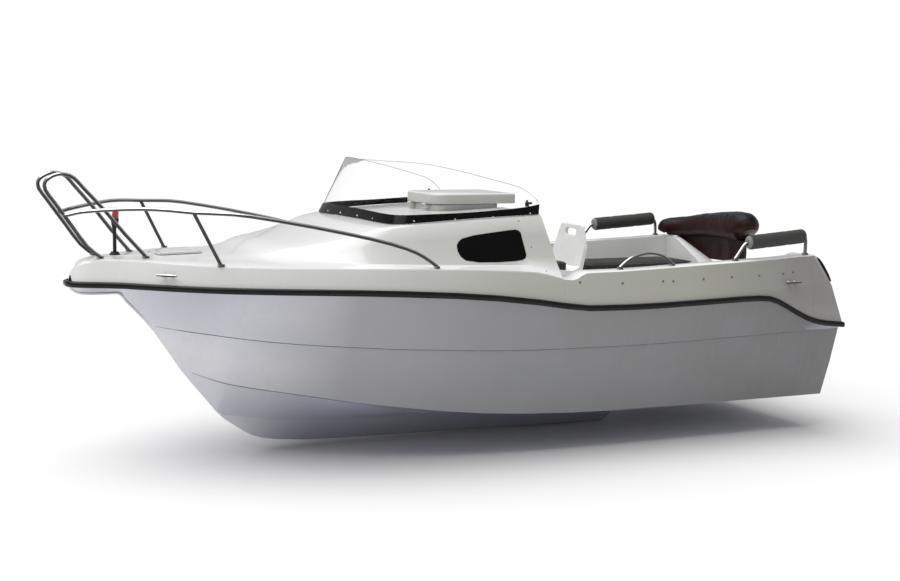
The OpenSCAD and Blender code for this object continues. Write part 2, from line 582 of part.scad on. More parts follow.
module hatch_lid() color("ivory") afloat() {
  translate([X(lid_front_x), 0, lid_z]) difference() {
    hull() {
      translate([0, 0, 0]) lid_layer(0);
      translate([0, 0, lid_h - 16]) lid_layer(0);
      translate([0, 0, lid_h - 5]) lid_layer(6);
      translate([0, 0, lid_h]) lid_layer(18);
    }
    translate([0, 0, -1]) linear_extrude(lid_h - 17) lid_shape(18);
  }
  for (y = [-125, 125])
    translate([X(lid_front_x) - 12, y - 8.5, lid_z - 8]) rotate([-90, 0, 0]) cylinder(r = 7, h = 17);
  for (y = [-125, 125])
    translate([X(lid_front_x) - 12, y - 8.5, lid_z - 4]) cube([20, 17, 11]);
}
lid_front_r = 120;
lid_back_r = 28;
module lid_shape(inset) {
  hull() for (s = [-1, 1]) {
    translate([lid_front_r, s * (lid_w / 2 - lid_front_r)]) circle(r = lid_front_r - inset);
    translate([lid_l - lid_back_r, s * (lid_w / 2 - lid_back_r)]) circle(r = lid_back_r - inset);
  }
}
module lid_layer(inset) {
  linear_extrude(0.5) lid_shape(inset);
}
module hatch_coaming() color("ivory") afloat() {
  cl = X(coaming_back_x) - X(lid_front_x) - 22;
  translate([X(lid_front_x) + 22 + cl / 2, 0, 1600]) difference() {
    slab([cl, coaming_w, lid_z - 1606], 70);
    translate([0, 0, -1]) slab([cl - 50, coaming_w - 50, 120], 50);
  }
  for (y = [-152, -115, 98, 135])
    translate([X(lid_front_x) - 12, y - 1, lid_z - 8]) rotate([-90, 0, 0]) cylinder(r = 7, h = 19);
  for (y = [-152, -115, 98, 135])
    translate([X(lid_front_x) - 19, y - 1, lid_z - 30]) cube([44, 19, 16]);
}

module cabin_berths() color("gray") afloat() {
  translate([0, 0, 660]) linear_extrude(70)
    polygon([[X(1240), -Y(250)], [X(1900), -Y(640)], [X(2950), -Y(780)], [X(2950), -Y(300)],
      [X(2000), -Y(150)], [X(2000), Y(150)], [X(2950), Y(300)], [X(2950), Y(780)],
      [X(1900), Y(640)], [X(1240), Y(250)]]);
  for (s = [0, 1]) mirror([0, s, 0])
    translate([X(2050), Y(310), floor_z + seam]) cube([X(850), Y(250), 660 - floor_z]);
}

// Helm: console on the bulkhead, wheel, throttle and seat
console_w = 400;
console_gap = 20;
helm_y = door_w / 2 + console_gap + console_w / 2;
wheel_at = [285, 575];
wheel_tilt = 72;
module at_wheel() {
  translate([wheel_at[0], helm_y, wheel_at[1]]) rotate([0, wheel_tilt, 0]) children();
}
module helm_console() color("ivory") afloat() in_bulkhead() {
  translate([0.5, helm_y - console_w / 2, 0]) rotate([90, 0, 0]) mirror([0, 0, 1])
    linear_extrude(console_w)
    offset(14) offset(-14)
      polygon([[0, 310], [120, 310], [210, 480], [228, 630], [150, 700], [24, 760], [0, 760]]);
  at_wheel() translate([0, 0, -90]) cylinder(r1 = 34, r2 = 26, h = 42);
}
module steering_wheel() color("black") afloat() {
  in_bulkhead() at_wheel() {
    rotate_extrude($fn = 40) translate([wheel_d / 2 - 14, 0]) circle(r = 13, $fn = 16);
    cylinder(r = 38, h = 18, center = true);
    translate([0, 0, -47.6]) cylinder(r = 19, h = 46);
    for (a = [0, 120, 240]) rotate([0, 0, a + 30])
      translate([30, -11, -5]) cube([wheel_d / 2 - 46, 22, 8]);
  }
}
module throttle() color("dimgray") afloat() {
  translate([X(3560), Y(899.5) - 28, 1090]) {
    cube([90, 28, 110]);
    translate([45, 0, 60]) rotate([90, 0, 0]) cylinder(r = 24, h = 18);
    translate([45, -16, 60]) rotate([0, -20, 0]) translate([-9, -6, 0]) cube([18, 12, 150]);
    translate([45, -16, 60]) rotate([0, -20, 0]) translate([0, 0, 160]) sphere(r = 22);
  }
}
seat_x = 3610;
seat_y = 480;
pan_z = 1130;
module seat_profile() {
  offset(9) offset(-9) polygon([[-20, 50], [-2, 78], [30, 60], [60, 22], [330, 2], [385, 30],
    [425, 200], [440, 352], [466, 352], [452, 190], [410, 0], [350, -30], [60, -30], [10, -6]]);
}
module helm_seat_shell() color("ivory") afloat() {
  translate([X(seat_x), Y(seat_y) + seat_w / 2, pan_z]) difference() {
    intersection() {
      rotate([90, 0, 0]) linear_extrude(seat_w) seat_profile();
      translate([-60, -seat_w / 2, 0]) rotate([90, 0, 90]) linear_extrude(600)
        offset(50) offset(-50) polygon([[-seat_w / 2, -60], [seat_w / 2, -60], [seat_w / 2, 170],
          [seat_w / 2 - 80, 354], [80 - seat_w / 2, 354], [-seat_w / 2, 170]]);
    }
    translate([380, -seat_w / 2, 288]) rotate([0, 90, 0])
      linear_extrude(160) offset(26) square([4, 118], center = true);
  }
}
module helm_seat_cushion() color("dimgray") afloat() {
  translate([X(seat_x) + 195, Y(seat_y), pan_z + 13]) rotate([0, 4.2, 0])
    slab([250, seat_w - 60, 46], 40);
}
module helm_seat_base() color("ivory") afloat() {
  translate([X(seat_x) + 205, Y(seat_y), sole_z + seam]) {
    slab([330, 360, 20], 40);
    translate([0, 0, 10]) slab([250, 280, pan_z - sole_z - 40.8 - seam], 50);
  }
}

bench_gap = 53;
bench_x = 4160;
bench_l = stern_x - bench_gap - bench_x;
bench_in = 380;
bench_out = 820;
bench_z = 1080;
module bench_box() color("ivory") afloat() {
  translate([X(bench_x), Y(bench_in), sole_z + seam]) difference() {
    cube([X(bench_l), Y(bench_out) - Y(bench_in), bench_z - sole_z]);
    translate([60, -1, 90]) cube([X(bench_l) - 120, 22, 200]);
  }
}
module bench_cushion() color("dimgray") afloat() {
  translate([X(bench_x) + X(bench_l) / 2, (Y(bench_out) + Y(bench_in)) / 2, bench_z + seam * 2])
    slab([X(bench_l) - 8, Y(bench_out) - Y(bench_in) - 8, cushion_t], 40);
}

// Foam bolsters on bent tubes that stand on the coaming
rest_y = 965;
rest_rise = 37;
function rest_z(x, x0, x1) = 1433 + rest_rise * (x - x0) / (x1 - x0);
module foam_rest(x0, x1) {
  difference() {
    rod([X(x0), Y(rest_y), rest_z(x0, x0, x1)], [X(x1), Y(rest_y), rest_z(x1, x0, x1)], foam_d / 2);
    rod([X(x0 - 50), Y(rest_y), rest_z(x0 - 50, x0, x1)],
      [X(x1 + 50), Y(rest_y), rest_z(x1 + 50, x0, x1)], 14);
  }
}
module rest_frame(x0, x1) {
  low_z = coaming_top(x0 - 132, 973, 24);
  high_z = coaming_top(x1 + 42, 956, 24);
  tube(smooth([[X(x0) - 132, Y(973), low_z + 9], [X(x0) - 88, Y(969), 1370],
    [X(x0) - 48, Y(966), 1418],
    for (x = [x0 - 8, x0 + 40, x0 + 90, x1 - 80, x1 - 40, x1 - 4])
      [X(x), Y(rest_y), rest_z(x, x0, x1)],
    [X(x1) + 26, Y(964), 1460], [X(x1) + 40, Y(961), 1430], [X(x1) + 42, Y(956), high_z + 9]],
    2), 12.5);
  translate([X(x0) - 133, Y(973), low_z]) cylinder(r = 24, h = 11);
  translate([X(x1) + 42, Y(956), high_z]) cylinder(r = 24, h = 11);
}
module foam_rest_port() color("dimgray") afloat() mirror([0, 1, 0]) foam_rest(4700, 5165);
module foam_rest_starboard() color("dimgray") afloat() foam_rest(4560, 5110);
module rest_frame_port() color("silver") afloat() mirror([0, 1, 0]) rest_frame(4700, 5165);
module rest_frame_starboard() color("silver") afloat() rest_frame(4560, 5110);

module grab_rail() {
  tube(smooth([[X(3596), Y(975), coaming_top(3596, 975, 22) + 10], [X(3636), Y(975), 1320], [X(3705), Y(975), 1358],
    [X(3815), Y(975), 1381], [X(3925), Y(975), 1366], [X(3990), Y(975), 1332],
    [X(4024), Y(975), coaming_top(4024, 975, 22) + 10]], 3), grab_d / 2);
  for (x = [3596, 4024])
    translate([X(x), Y(975), coaming_top(x, 975, 22)]) cylinder(r = 22, h = 11);
}
module grab_rail_port() color("silver") afloat() mirror([0, 1, 0]) grab_rail();
module grab_rail_starboard() color("silver") afloat() grab_rail();

// Black strip down the after edge of each quarter
function quarter_edge(y, z) = [lean_aft(5443, z) + 9.5, Y(y), z];
module stern_pad() {
  tube(smooth([quarter_edge(1040, 1132), quarter_edge(1002, 1215), quarter_edge(965, 1292),
    quarter_edge(930, 1306)], 3), 8);
}
module stern_pad_port() color("black") afloat() mirror([0, 1, 0]) stern_pad();
module stern_pad_starboard() color("black") afloat() stern_pad();

// Folded canopy in its boot, from the starboard coaming round and across the stern
canopy_path = [[5205, 938, 30], [5216, 930, 56], [5240, 908, 74], [5290, 840, 80],
  [5338, 720, 84], [5370, 520, 90], [5386, 260, 95], [5384, 0, 98], [5378, -110, 96],
  [5375, -142, 76], [5374, -156, 40]];
canopy_rest_z = 1330;
canopy_low_z = 1341;
canopy_sides = 12;
function canopy_bottom(y) = y > 600 ? canopy_rest_z : canopy_low_z;
module canopy_roll() color("navy") afloat() {
  p = smooth([for (q = canopy_path) [X(q[0]), Y(q[1]), canopy_bottom(q[1]) + q[2]]], 2);
  r = smooth([for (q = canopy_path) [q[2], 0, 0]], 2);
  loft([for (i = [0:len(p) - 1]) tube_ring(p, i, r[i][0], canopy_sides)]);
}
module canopy_flap() color("navy") afloat() {
  translate([X(5384) - 4, -Y(100), 1150]) cube([8, Y(340), canopy_low_z - 1150 - seam * 1.5]);
}
module transom_pad() color("dimgray") afloat() {
  translate([X(5443) + 0.5, 0, 270]) rotate([0, transom_rake, 0])
    translate([0, -190, 190]) cube([12, 380, 200]);
}

hull_moulding();
foredeck_cabin();
cockpit_moulding();
stern_quarters();
cabin_bulkhead();
companion_door();
rub_rail();
anchor_locker_lid();
pulpit_hoop_port();
pulpit_hoop_starboard();
bow_rail_port();
bow_rail_starboard();
nav_light_body();
nav_light_lens();
cleat_bow_port();
cleat_bow_starboard();
cleat_stern_port();
cleat_stern_starboard();
windscreen();
screen_band();
side_window_port();
side_window_starboard();
hatch_lid();
hatch_coaming();
cabin_berths();
helm_console();
steering_wheel();
throttle();
helm_seat_shell();
helm_seat_cushion();
helm_seat_base();
bench_box();
bench_cushion();
foam_rest_port();
foam_rest_starboard();
rest_frame_port();
rest_frame_starboard();
grab_rail_port();
grab_rail_starboard();
stern_pad_port();
stern_pad_starboard();
canopy_roll();
canopy_flap();
transom_pad();
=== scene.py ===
# %% [markdown]
# # A small cabin motorboat, dressed for its portrait
# The boat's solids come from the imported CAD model, already in metres and in their places:
# X runs aft, Y to starboard, Z up, and the origin lies amidships on the waterline.
# This lesson gives every solid a finish, swaps the soft pieces for sewn ones, adds the small
# fittings, and sets the light and the camera. Each step says what the real piece is first.

import math

import bmesh
import bpy
from mathutils import Matrix, Vector


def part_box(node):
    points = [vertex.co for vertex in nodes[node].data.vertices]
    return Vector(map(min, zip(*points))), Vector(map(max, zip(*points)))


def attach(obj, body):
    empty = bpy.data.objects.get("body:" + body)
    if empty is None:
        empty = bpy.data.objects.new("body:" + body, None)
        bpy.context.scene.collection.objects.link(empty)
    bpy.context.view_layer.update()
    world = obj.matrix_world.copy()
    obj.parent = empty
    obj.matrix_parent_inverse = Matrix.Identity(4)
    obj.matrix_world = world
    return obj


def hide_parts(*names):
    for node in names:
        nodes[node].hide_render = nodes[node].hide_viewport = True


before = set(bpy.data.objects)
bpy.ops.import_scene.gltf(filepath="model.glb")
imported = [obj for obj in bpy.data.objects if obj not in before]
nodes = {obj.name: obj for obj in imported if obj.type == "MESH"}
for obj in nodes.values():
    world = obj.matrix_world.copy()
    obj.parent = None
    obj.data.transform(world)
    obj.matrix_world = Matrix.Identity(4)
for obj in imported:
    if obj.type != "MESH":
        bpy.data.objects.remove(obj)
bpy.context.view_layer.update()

# %% [markdown]
# ## Where things are
# The boat's drawing counts its stations from the bow nose and its heights from the lowest keel,
# in millimetres. One small function turns such a place into the frame's metres, so that every
# fitting below can be written with the drawing's own numbers.

# %% Places from the drawing
BOW_TO_ORIGIN = 2750
KEEL_TO_WATER = 290


def place(x, y, z):
    """A point counted from the bow nose, the centre line and the lowest keel, in metres."""
    return Vector(((x - BOW_TO_ORIGIN) / 1000, y / 1000, (z - KEEL_TO_WATER) / 1000))


print("origin is", place(2750, 0, 290)[:])

# %% [markdown]
# ## The camera
# The photograph was taken from off the port bow, a little above the rails. Its place comes from
# pairs of rail feet that lie level with each other on the two sides of the boat: the lines
# through them meet at a vanishing point, which fixes the direction, and the boat's length then
# fixes the distance. A 60 mm lens on a 36 mm sensor gives the same perspective.

# %% Set the camera
camera_data = bpy.data.cameras.new("camera")
camera_data.lens = 60
camera_data.sensor_width = 36
camera_data.sensor_fit = "HORIZONTAL"
camera_data.clip_end = 200
camera = bpy.data.objects.new("camera", camera_data)
bpy.context.scene.collection.objects.link(camera)
camera_right = Vector((0.90177, -0.43201, 0.01353))
camera_up = Vector((0.03813, 0.11069, 0.99312))
camera_back = Vector((-0.43054, -0.89505, 0.11629))
camera.matrix_world = Matrix.Translation((-4.6875, -9.77, 2.0308)) @ Matrix(
    (camera_right, camera_up, camera_back)
).transposed().to_4x4()
bpy.context.scene.camera = camera
print("camera at", camera.matrix_world.translation[:])

# %% [markdown]
# ## Writing materials as sums
# A finish is mostly arithmetic: take some noise, stretch it, mask it, mix two colours with it.
# Wrapping a socket in a small class with the operators overloaded lets that arithmetic read as
# such, while Blender still gets its Math nodes. Colours and vectors have their own two nodes,
# because a Math node would turn a colour grey.


# %% A socket with arithmetic
class Tap:
    """One output of a material's node, which can be added, multiplied and compared."""

    def __init__(self, paint, socket):
        self.paint = paint
        self.socket = socket

    def math(self, operation, *values):
        return self.paint.node("ShaderNodeMath", {"operation": operation}, *values)

    def size(self):
        return self.math("ABSOLUTE", self)

    def __add__(self, other):
        return self.math("ADD", self, other)

    def __sub__(self, other):
        return self.math("SUBTRACT", self, other)

    def __mul__(self, other):
        return self.math("MULTIPLY", self, other)

    def __radd__(self, other):
        return self.math("ADD", other, self)

    def __rsub__(self, other):
        return self.math("SUBTRACT", other, self)

    def __rmul__(self, other):
        return self.math("MULTIPLY", other, self)

    def __truediv__(self, other):
        return self.math("DIVIDE", self, other)

    def __lt__(self, other):
        return self.math("LESS_THAN", self, other)

    def __gt__(self, other):
        return self.math("GREATER_THAN", self, other)


# %% A material under construction
class Paint:
    """A material whose nodes are added one call at a time."""

    def __init__(self, name):
        self.material = bpy.data.materials.new(name)
        self.material.use_nodes = True
        self.tree = self.material.node_tree
        self.shader = self.tree.nodes["Principled BSDF"]

    @classmethod
    def onto(cls, material):
        """Goes on with a material that is already there."""
        paint = cls.__new__(cls)
        paint.material = material
        paint.tree = material.node_tree
        paint.shader = paint.tree.nodes["Principled BSDF"]
        return paint

    def node(self, kind, settings, *values, out=0, **named):
        """Adds a node: its settings first, then values or links by place or by socket name."""
        node = self.tree.nodes.new(kind)
        for name, value in settings.items():
            if name == "stops":
                ramp = node.color_ramp.elements
                while len(ramp) < len(value):
                    ramp.new(0.5)
                for element, (position, colour) in zip(ramp, value):
                    element.position = position
                    element.color = (*colour, 1) if len(colour) == 3 else colour
            else:
                setattr(node, name, value)
        for key, value in list(enumerate(values)) + list(named.items()):
            socket = node.inputs[key if isinstance(key, int) else key.replace("_", " ")]
            if isinstance(value, Tap):
                self.tree.links.new(value.socket, socket)
            elif isinstance(value, (tuple, list)) and len(value) < len(socket.default_value):
                socket.default_value = (*value, 1)
            else:
                socket.default_value = value
        return Tap(self, node.outputs[out])

    def where(self):
        """The point on the object, in metres."""
        return self.node("ShaderNodeTexCoord", {}, out=3)

    def facing(self):
        """The direction that the surface faces on the object."""
        return self.node("ShaderNodeNewGeometry", {}, out=1)

    def axis(self, point, letter):
        return self.node("ShaderNodeSeparateXYZ", {}, point, out="XYZ".index(letter))

    def stretched(self, point, scale):
        return self.node("ShaderNodeVectorMath", {"operation": "MULTIPLY"}, point, scale)

    def noise(self, point, scale, detail=3.0, roughness=0.5):
        return self.node(
            "ShaderNodeTexNoise", {}, Vector=point, Scale=scale, Detail=detail, Roughness=roughness
        )

    def ramp(self, value, *stops):
        return self.node("ShaderNodeValToRGB", {"stops": stops}, value)

    def mix(self, factor, first, second):
        """A blend of two colours."""
        node = self.tree.nodes.new("ShaderNodeMix")
        node.data_type = "RGBA"
        for index, value in ((0, factor), (6, first), (7, second)):
            if isinstance(value, Tap):
                self.tree.links.new(value.socket, node.inputs[index])
            else:
                node.inputs[index].default_value = value if index == 0 else (*value, 1)
        return Tap(self, node.outputs[2])

    def bump(self, height, strength, distance):
        return self.node(
            "ShaderNodeBump", {}, Strength=strength, Distance=distance, Height=height
        )

    def set(self, **sockets):
        """Sets or links the shader's own sockets, named with _ for a space."""
        for name, value in sockets.items():
            socket = self.shader.inputs[name.replace("_", " ")]
            if isinstance(value, Tap):
                self.tree.links.new(value.socket, socket)
            elif isinstance(value, (tuple, list)):
                socket.default_value = (*value, 1) if len(value) == 3 else value
            else:
                socket.default_value = value
        return self


print("paint helpers ready")

# %% [markdown]
# ## Gelcoat
# A glass-fibre boat gets its colour from a thick polished resin, sprayed into the mould before
# the glass. It is glossy, faintly wavy where the mould was, and holds a little dirt and haze.
# The hull and the deck are white gelcoat, with painted shade in their colour: the upright sides
# darken from the bow towards the stern, the hull's down to a dark grey, and the hull takes a painted
# violet shade where its skin turns under. Each gets one base colour, a lighter one where it faces
# up, a painted shade where the surface faces down, a slow wave, a fine orange peel, and faint
# streaks where water has run.


# %% Gelcoat materials
BOAT_LENGTH = 5.5


def gelcoat(name, along, top, under, wave=0.004, rough=0.14, streaks=0.0, inner_wall_shade=None):
    """along is a list of (share of the length from the bow, grey) for the upright sides: painted shade that changes
    from the bow to the stern.
    """
    paint = Paint(name)
    point = paint.where()
    haze = paint.noise(point, 2.2, 4.0)
    scuff = paint.noise(paint.stretched(point, (3.0, 3.0, 40.0)), 1.6, 5.0)
    peel = paint.noise(point, 160.0, 2.0)
    slow = paint.noise(point, 1.7, 1.0)
    run = paint.noise(paint.stretched(point, (26.0, 26.0, 1.1)), 1.0, 5.0)
    share = (paint.axis(point, "X") + 2.75) / BOAT_LENGTH
    # Painted shade: the upright sides darken from the bow towards the stern, as the along list gives.
    side = paint.ramp(share, *along)
    side = paint.mix(paint.ramp(haze, (0.40, (0, 0, 0)), (0.80, (0.16, 0.16, 0.16))), side, under)
    # The cockpit's inner walls skip the painted bow-to-stern shade and take one flat colour, itself a painted shade a
    # step darker than the top.
    if inner_wall_shade:
        outboard = paint.axis(point, "Y").size() > 0.955
        side = paint.mix(outboard, inner_wall_shade, side)
    # Painted light and shade: surfaces that face up take the lighter top colour, those that face down the darker under
    # colour.
    facing = paint.axis(paint.facing(), "Z")
    colour = paint.mix(paint.ramp(facing, (0.35, (0, 0, 0)), (0.80, (1, 1, 1))), side, top)
    colour = paint.mix(paint.ramp(facing * -1.0, (0.45, (0, 0, 0)), (0.90, (1, 1, 1))), colour, under)
    stained = paint.ramp(run, (0.52, (0, 0, 0)), (0.78, (streaks, streaks, streaks)))
    colour = paint.mix(stained, colour, tuple(c * 0.8 for c in under))
    paint.set(
        Base_Color=colour,
        Roughness=rough + 0.12 * scuff * haze,
        Coat_Weight=0.5,
        Coat_Roughness=0.05,
        IOR=1.45,
        Normal=paint.bump(slow + peel * 0.006, 0.35, wave),
    )
    return paint.material


# The hull is white; its colours here are painted shade: pale at the bow, a dark grey aft, and a violet shade where it
# faces down.
hull_white = gelcoat(
    "hull_gelcoat",
    [
        (0.02, (0.80, 0.80, 0.84)), (0.17, (0.76, 0.76, 0.80)), (0.30, (0.36, 0.36, 0.375)),
        (0.50, (0.255, 0.257, 0.262)), (0.72, (0.205, 0.207, 0.208)), (0.95, (0.15, 0.15, 0.15)),
    ],
    (0.5, 0.5, 0.5), (0.36, 0.37, 0.46), 0.014, streaks=0.10,
)
# Painted shade on the deck's upright sides, darker towards the stern.
DECK_SIDE_SHADE = [
    (0.02, (0.72, 0.72, 0.71)), (0.25, (0.62, 0.625, 0.595)), (0.50, (0.44, 0.442, 0.405)),
    (0.75, (0.37, 0.372, 0.325)), (0.93, (0.25, 0.245, 0.235)), (1.0, (0.24, 0.235, 0.23)),
]
DECK_TOP = (0.80, 0.80, 0.81)
deck_white = gelcoat("deck_gelcoat", DECK_SIDE_SHADE, DECK_TOP, (0.50, 0.50, 0.48), rough=0.16, streaks=0.06)
cockpit_white = gelcoat(
    "cockpit_gelcoat", DECK_SIDE_SHADE, DECK_TOP, (0.50, 0.50, 0.48), rough=0.20, streaks=0.06,
    inner_wall_shade=(0.72, 0.72, 0.70),
)
# The liner gets a mild painted shade towards the stern and a painted shade where it faces down.
liner_white = gelcoat(
    "liner_gelcoat",
    [(0.0, (0.86, 0.86, 0.85)), (0.5, (0.84, 0.84, 0.83)), (1.0, (0.70, 0.70, 0.68))],
    (0.88, 0.88, 0.88), (0.48, 0.48, 0.47), rough=0.32, streaks=0.06,
)
print("gelcoats made")

# %% [markdown]
# The cockpit floor is moulded with a grid of small raised pads, so that wet feet hold. They are
# far too many to model, so a bump does it, and only where the liner is level and low down.


# %% Non-skid floor
cockpit = Paint.onto(cockpit_white)
pads = cockpit.node(
    "ShaderNodeTexVoronoi", {"distance": "CHEBYCHEV"}, Vector=cockpit.where(), Scale=80.0, Randomness=0.0
)
level = cockpit.axis(cockpit.facing(), "Z") > 0.97
low_down = cockpit.axis(cockpit.where(), "Z") < 0.47
cockpit.set(Normal=cockpit.bump(pads * level * low_down, 0.5, 0.002))
print("non-skid made")

# %% [markdown]
# ## Metal, rubber, plastic and glass
# The rails are polished stainless tube, the rub rail an extruded black section, the screen a
# clear acrylic sheet and the cabin windows a smoked one. Fine streaks in the roughness keep the
# metal from looking like a mirror. The steel's colour carries a painted reflection: bright where
# it faces up or fore and aft, dark where it faces sideways.


# %% Hard materials
def polished_steel():
    paint = Paint("polished_stainless")
    point = paint.where()
    streak = paint.noise(paint.stretched(point, (6.0, 60.0, 60.0)), 7.0, 4.0)
    smudge = paint.noise(point, 9.0, 3.0)
    # Painted reflection: the colour follows the way the surface faces, bright where it faces up or fore and aft, dark
    # where it faces sideways, a dull grey where it faces down.
    upward = paint.axis(paint.facing(), "Z")
    level = upward + 0.55 * paint.axis(paint.facing(), "X").size()
    painted_reflection = paint.ramp(
        level * 0.5 + 0.5, (0.05, (0.30, 0.28, 0.26)), (0.28, (0.05, 0.045, 0.042)),
        (0.56, (0.035, 0.033, 0.035)), (0.70, (0.16, 0.15, 0.15)), (0.86, (0.72, 0.72, 0.72)),
    )
    paint.set(
        Base_Color=paint.mix(smudge * 0.12, painted_reflection, (0.45, 0.42, 0.38)),
        Metallic=1.0,
        Roughness=0.10 + 0.16 * streak,
        Normal=paint.bump(streak, 0.04, 0.001),
    )
    return paint.material


def dark_plastic(name, colour, rough, grain=900.0, depth=0.0002, shine=0.25):
    paint = Paint(name)
    point = paint.where()
    speck = paint.noise(point, grain, 2.0)
    dust = paint.noise(point, 14.0, 4.0)
    lighter = tuple(c * 1.8 + 0.003 for c in colour)
    paint.set(
        Base_Color=paint.mix(paint.ramp(dust, (0.45, (0, 0, 0)), (0.8, (1, 1, 1))), colour, lighter),
        Roughness=rough + 0.15 * dust,
        Specular_IOR_Level=shine,
        Normal=paint.bump(speck, 0.3, depth),
    )
    return paint.material


def clear_sheet(name, tint, rough):
    paint = Paint(name)
    point = paint.where()
    smear = paint.noise(paint.stretched(point, (3.0, 3.0, 9.0)), 3.0, 4.0)
    paint.set(
        Base_Color=tint,
        Transmission_Weight=1.0,
        IOR=1.06,
        Roughness=rough + 0.03 * smear,
    )
    return paint.material


def smoked_sheet(name):
    paint = Paint(name)
    smear = paint.noise(paint.stretched(paint.where(), (3.0, 3.0, 9.0)), 3.0, 4.0)
    paint.set(
        Base_Color=paint.mix(smear, (0.0012, 0.0012, 0.0010), (0.004, 0.003, 0.003)),
        Roughness=0.03 + 0.05 * smear,
        Specular_IOR_Level=0.1,
    )
    return paint.material


steel = polished_steel()
rub_rubber = dark_plastic("rub_rubber", (0.003, 0.003, 0.003), 0.16, grain=300.0, depth=0.0001)
black_plastic = dark_plastic("black_plastic", (0.012, 0.012, 0.013), 0.35)
band_black = dark_plastic("band_black", (0.002, 0.002, 0.0022), 0.10, grain=40.0, depth=0.00005, shine=0.12)
screen_clear = clear_sheet("screen_clear", (0.995, 1.0, 0.995), 0.0)
window_smoked = smoked_sheet("window_smoked")
dark_edge = dark_plastic("screen_edge", (0.22, 0.22, 0.22), 0.3)
aged_brass = dark_plastic("aged_brass", (0.13, 0.10, 0.06), 0.3, shine=0.6)
screw_nickel = dark_plastic("screw_nickel", (0.62, 0.60, 0.50), 0.25, shine=0.6)
# A dark grey for the beads in the hull's creases: painted shade along the creases.
painted_crease_shade = dark_plastic("painted_crease_shade", (0.13, 0.13, 0.165), 0.3, shine=0.4)
foam_grey = dark_plastic("foam_grey", (0.03, 0.03, 0.028), 0.75, grain=420.0, depth=0.0012)
print("hard materials made")

# %% [markdown]
# The bow light's lens is one moulding in two colours: red shines to port and green to starboard.
# The centre line divides them, so the sign of Y picks the colour.

# %% Two-colour lens
lens = Paint("nav_lens")
starboard_side = lens.axis(lens.where(), "Y") > 0.0
ribs = lens.node("ShaderNodeTexWave", {"bands_direction": "Z"}, Scale=60.0, Vector=lens.where())
lens.set(
    Base_Color=lens.mix(starboard_side, (0.32, 0.035, 0.04), (0.02, 0.30, 0.10)),
    Roughness=0.12,
    Coat_Weight=0.5,
    Normal=lens.bump(ribs, 0.3, 0.001),
)
print("lens made")

# %% [markdown]
# ## Vinyl and cloth
# The cushions are dark grey vinyl: a pebbled grain, dull gloss, paler where people sit. The
# canopy boot is a tight, shiny woven cloth, dark brown, with a painted blue-black sheen on the
# side that faces up.


# %% Soft materials
def vinyl(name, colour, worn):
    paint = Paint(name)
    point = paint.where()
    pebble = paint.node(
        "ShaderNodeTexVoronoi", {"feature": "DISTANCE_TO_EDGE"}, Vector=point, Scale=420.0
    )
    wear = paint.noise(point, 6.0, 5.0)
    paint.set(
        Base_Color=paint.mix(paint.ramp(wear, (0.4, (0, 0, 0)), (0.7, (1, 1, 1))), colour, worn),
        Roughness=0.42 + 0.2 * wear,
        Specular_IOR_Level=0.25,
        Normal=paint.bump(pebble, 0.35, 0.0008),
    )
    return paint.material


def boot_cloth():
    paint = Paint("canopy_cloth")
    point = paint.where()
    across = paint.node("ShaderNodeTexWave", {"bands_direction": "Y"}, Vector=point, Scale=260.0)
    along = paint.node("ShaderNodeTexWave", {"bands_direction": "Z"}, Vector=point, Scale=260.0)
    fade = paint.noise(point, 5.0, 4.0)
    # Painted sheen: where the cloth faces up its colour turns to a blue-black; the sides are a dark brown that varies
    # at random.
    paint.set(
        Base_Color=paint.mix(
            paint.ramp(paint.axis(paint.facing(), "Z"), (0.25, (0, 0, 0)), (0.75, (1, 1, 1))),
            paint.mix(fade, (0.012, 0.004, 0.004), (0.034, 0.010, 0.009)), (0.002, 0.002, 0.006),
        ),
        Roughness=0.22 + 0.2 * fade,
        Specular_IOR_Level=0.16,
        Normal=paint.bump(across + along, 0.25, 0.0005),
    )
    return paint.material


cushion_vinyl = vinyl("cushion_vinyl", (0.021, 0.022, 0.019), (0.033, 0.034, 0.030))
berth_cloth = vinyl("berth_cloth", (0.40, 0.40, 0.43), (0.50, 0.50, 0.52))
canopy_cloth = boot_cloth()
piping_vinyl = vinyl("piping_vinyl", (0.05, 0.05, 0.055), (0.09, 0.09, 0.095))
black_webbing = vinyl("black_webbing", (0.015, 0.014, 0.016), (0.03, 0.03, 0.03))
print("soft materials made")

# %% [markdown]
# ## Dress the solids
# Every node of the frame gets its finish. The solids come as flat facets, so a Weld modifier
# joins their corners and an Edge Split keeps the real edges sharp while the rest is smooth.

# %% A finish for every node
FINISHES = {
    "hull_moulding": hull_white,
    "cockpit_moulding": cockpit_white,
    "stern_quarters": cockpit_white,
    "rub_rail": rub_rubber,
    "stern_pad_port": rub_rubber,
    "stern_pad_starboard": rub_rubber,
    "windscreen": screen_clear,
    "screen_band": band_black,
    "side_window_port": window_smoked,
    "side_window_starboard": window_smoked,
    "nav_light_body": black_plastic,
    "nav_light_lens": lens.material,
    "steering_wheel": black_plastic,
    "throttle": black_plastic,
    "transom_pad": black_plastic,
    "helm_seat_cushion": cushion_vinyl,
    "bench_cushion": cushion_vinyl,
    "foam_rest_port": foam_grey,
    "foam_rest_starboard": foam_grey,
    "canopy_roll": canopy_cloth,
    "canopy_flap": canopy_cloth,
    "cabin_berths": berth_cloth,
    "cabin_bulkhead": liner_white,
    "helm_seat_shell": liner_white,
    "helm_seat_base": liner_white,
    "bench_box": liner_white,
    "helm_console": liner_white,
}
STEEL_STARTS = ("pulpit", "bow_rail", "cleat", "rest_frame", "grab_rail")


SOFTENED = {
    "hatch_lid": 0.010, "hatch_coaming": 0.004, "helm_seat_shell": 0.006, "bench_box": 0.008,
    "helm_console": 0.006, "helm_seat_base": 0.006, "companion_door": 0.003, "cabin_bulkhead": 0.003,
    "transom_pad": 0.006, "anchor_locker_lid": 0.003, "cabin_berths": 0.010,
}


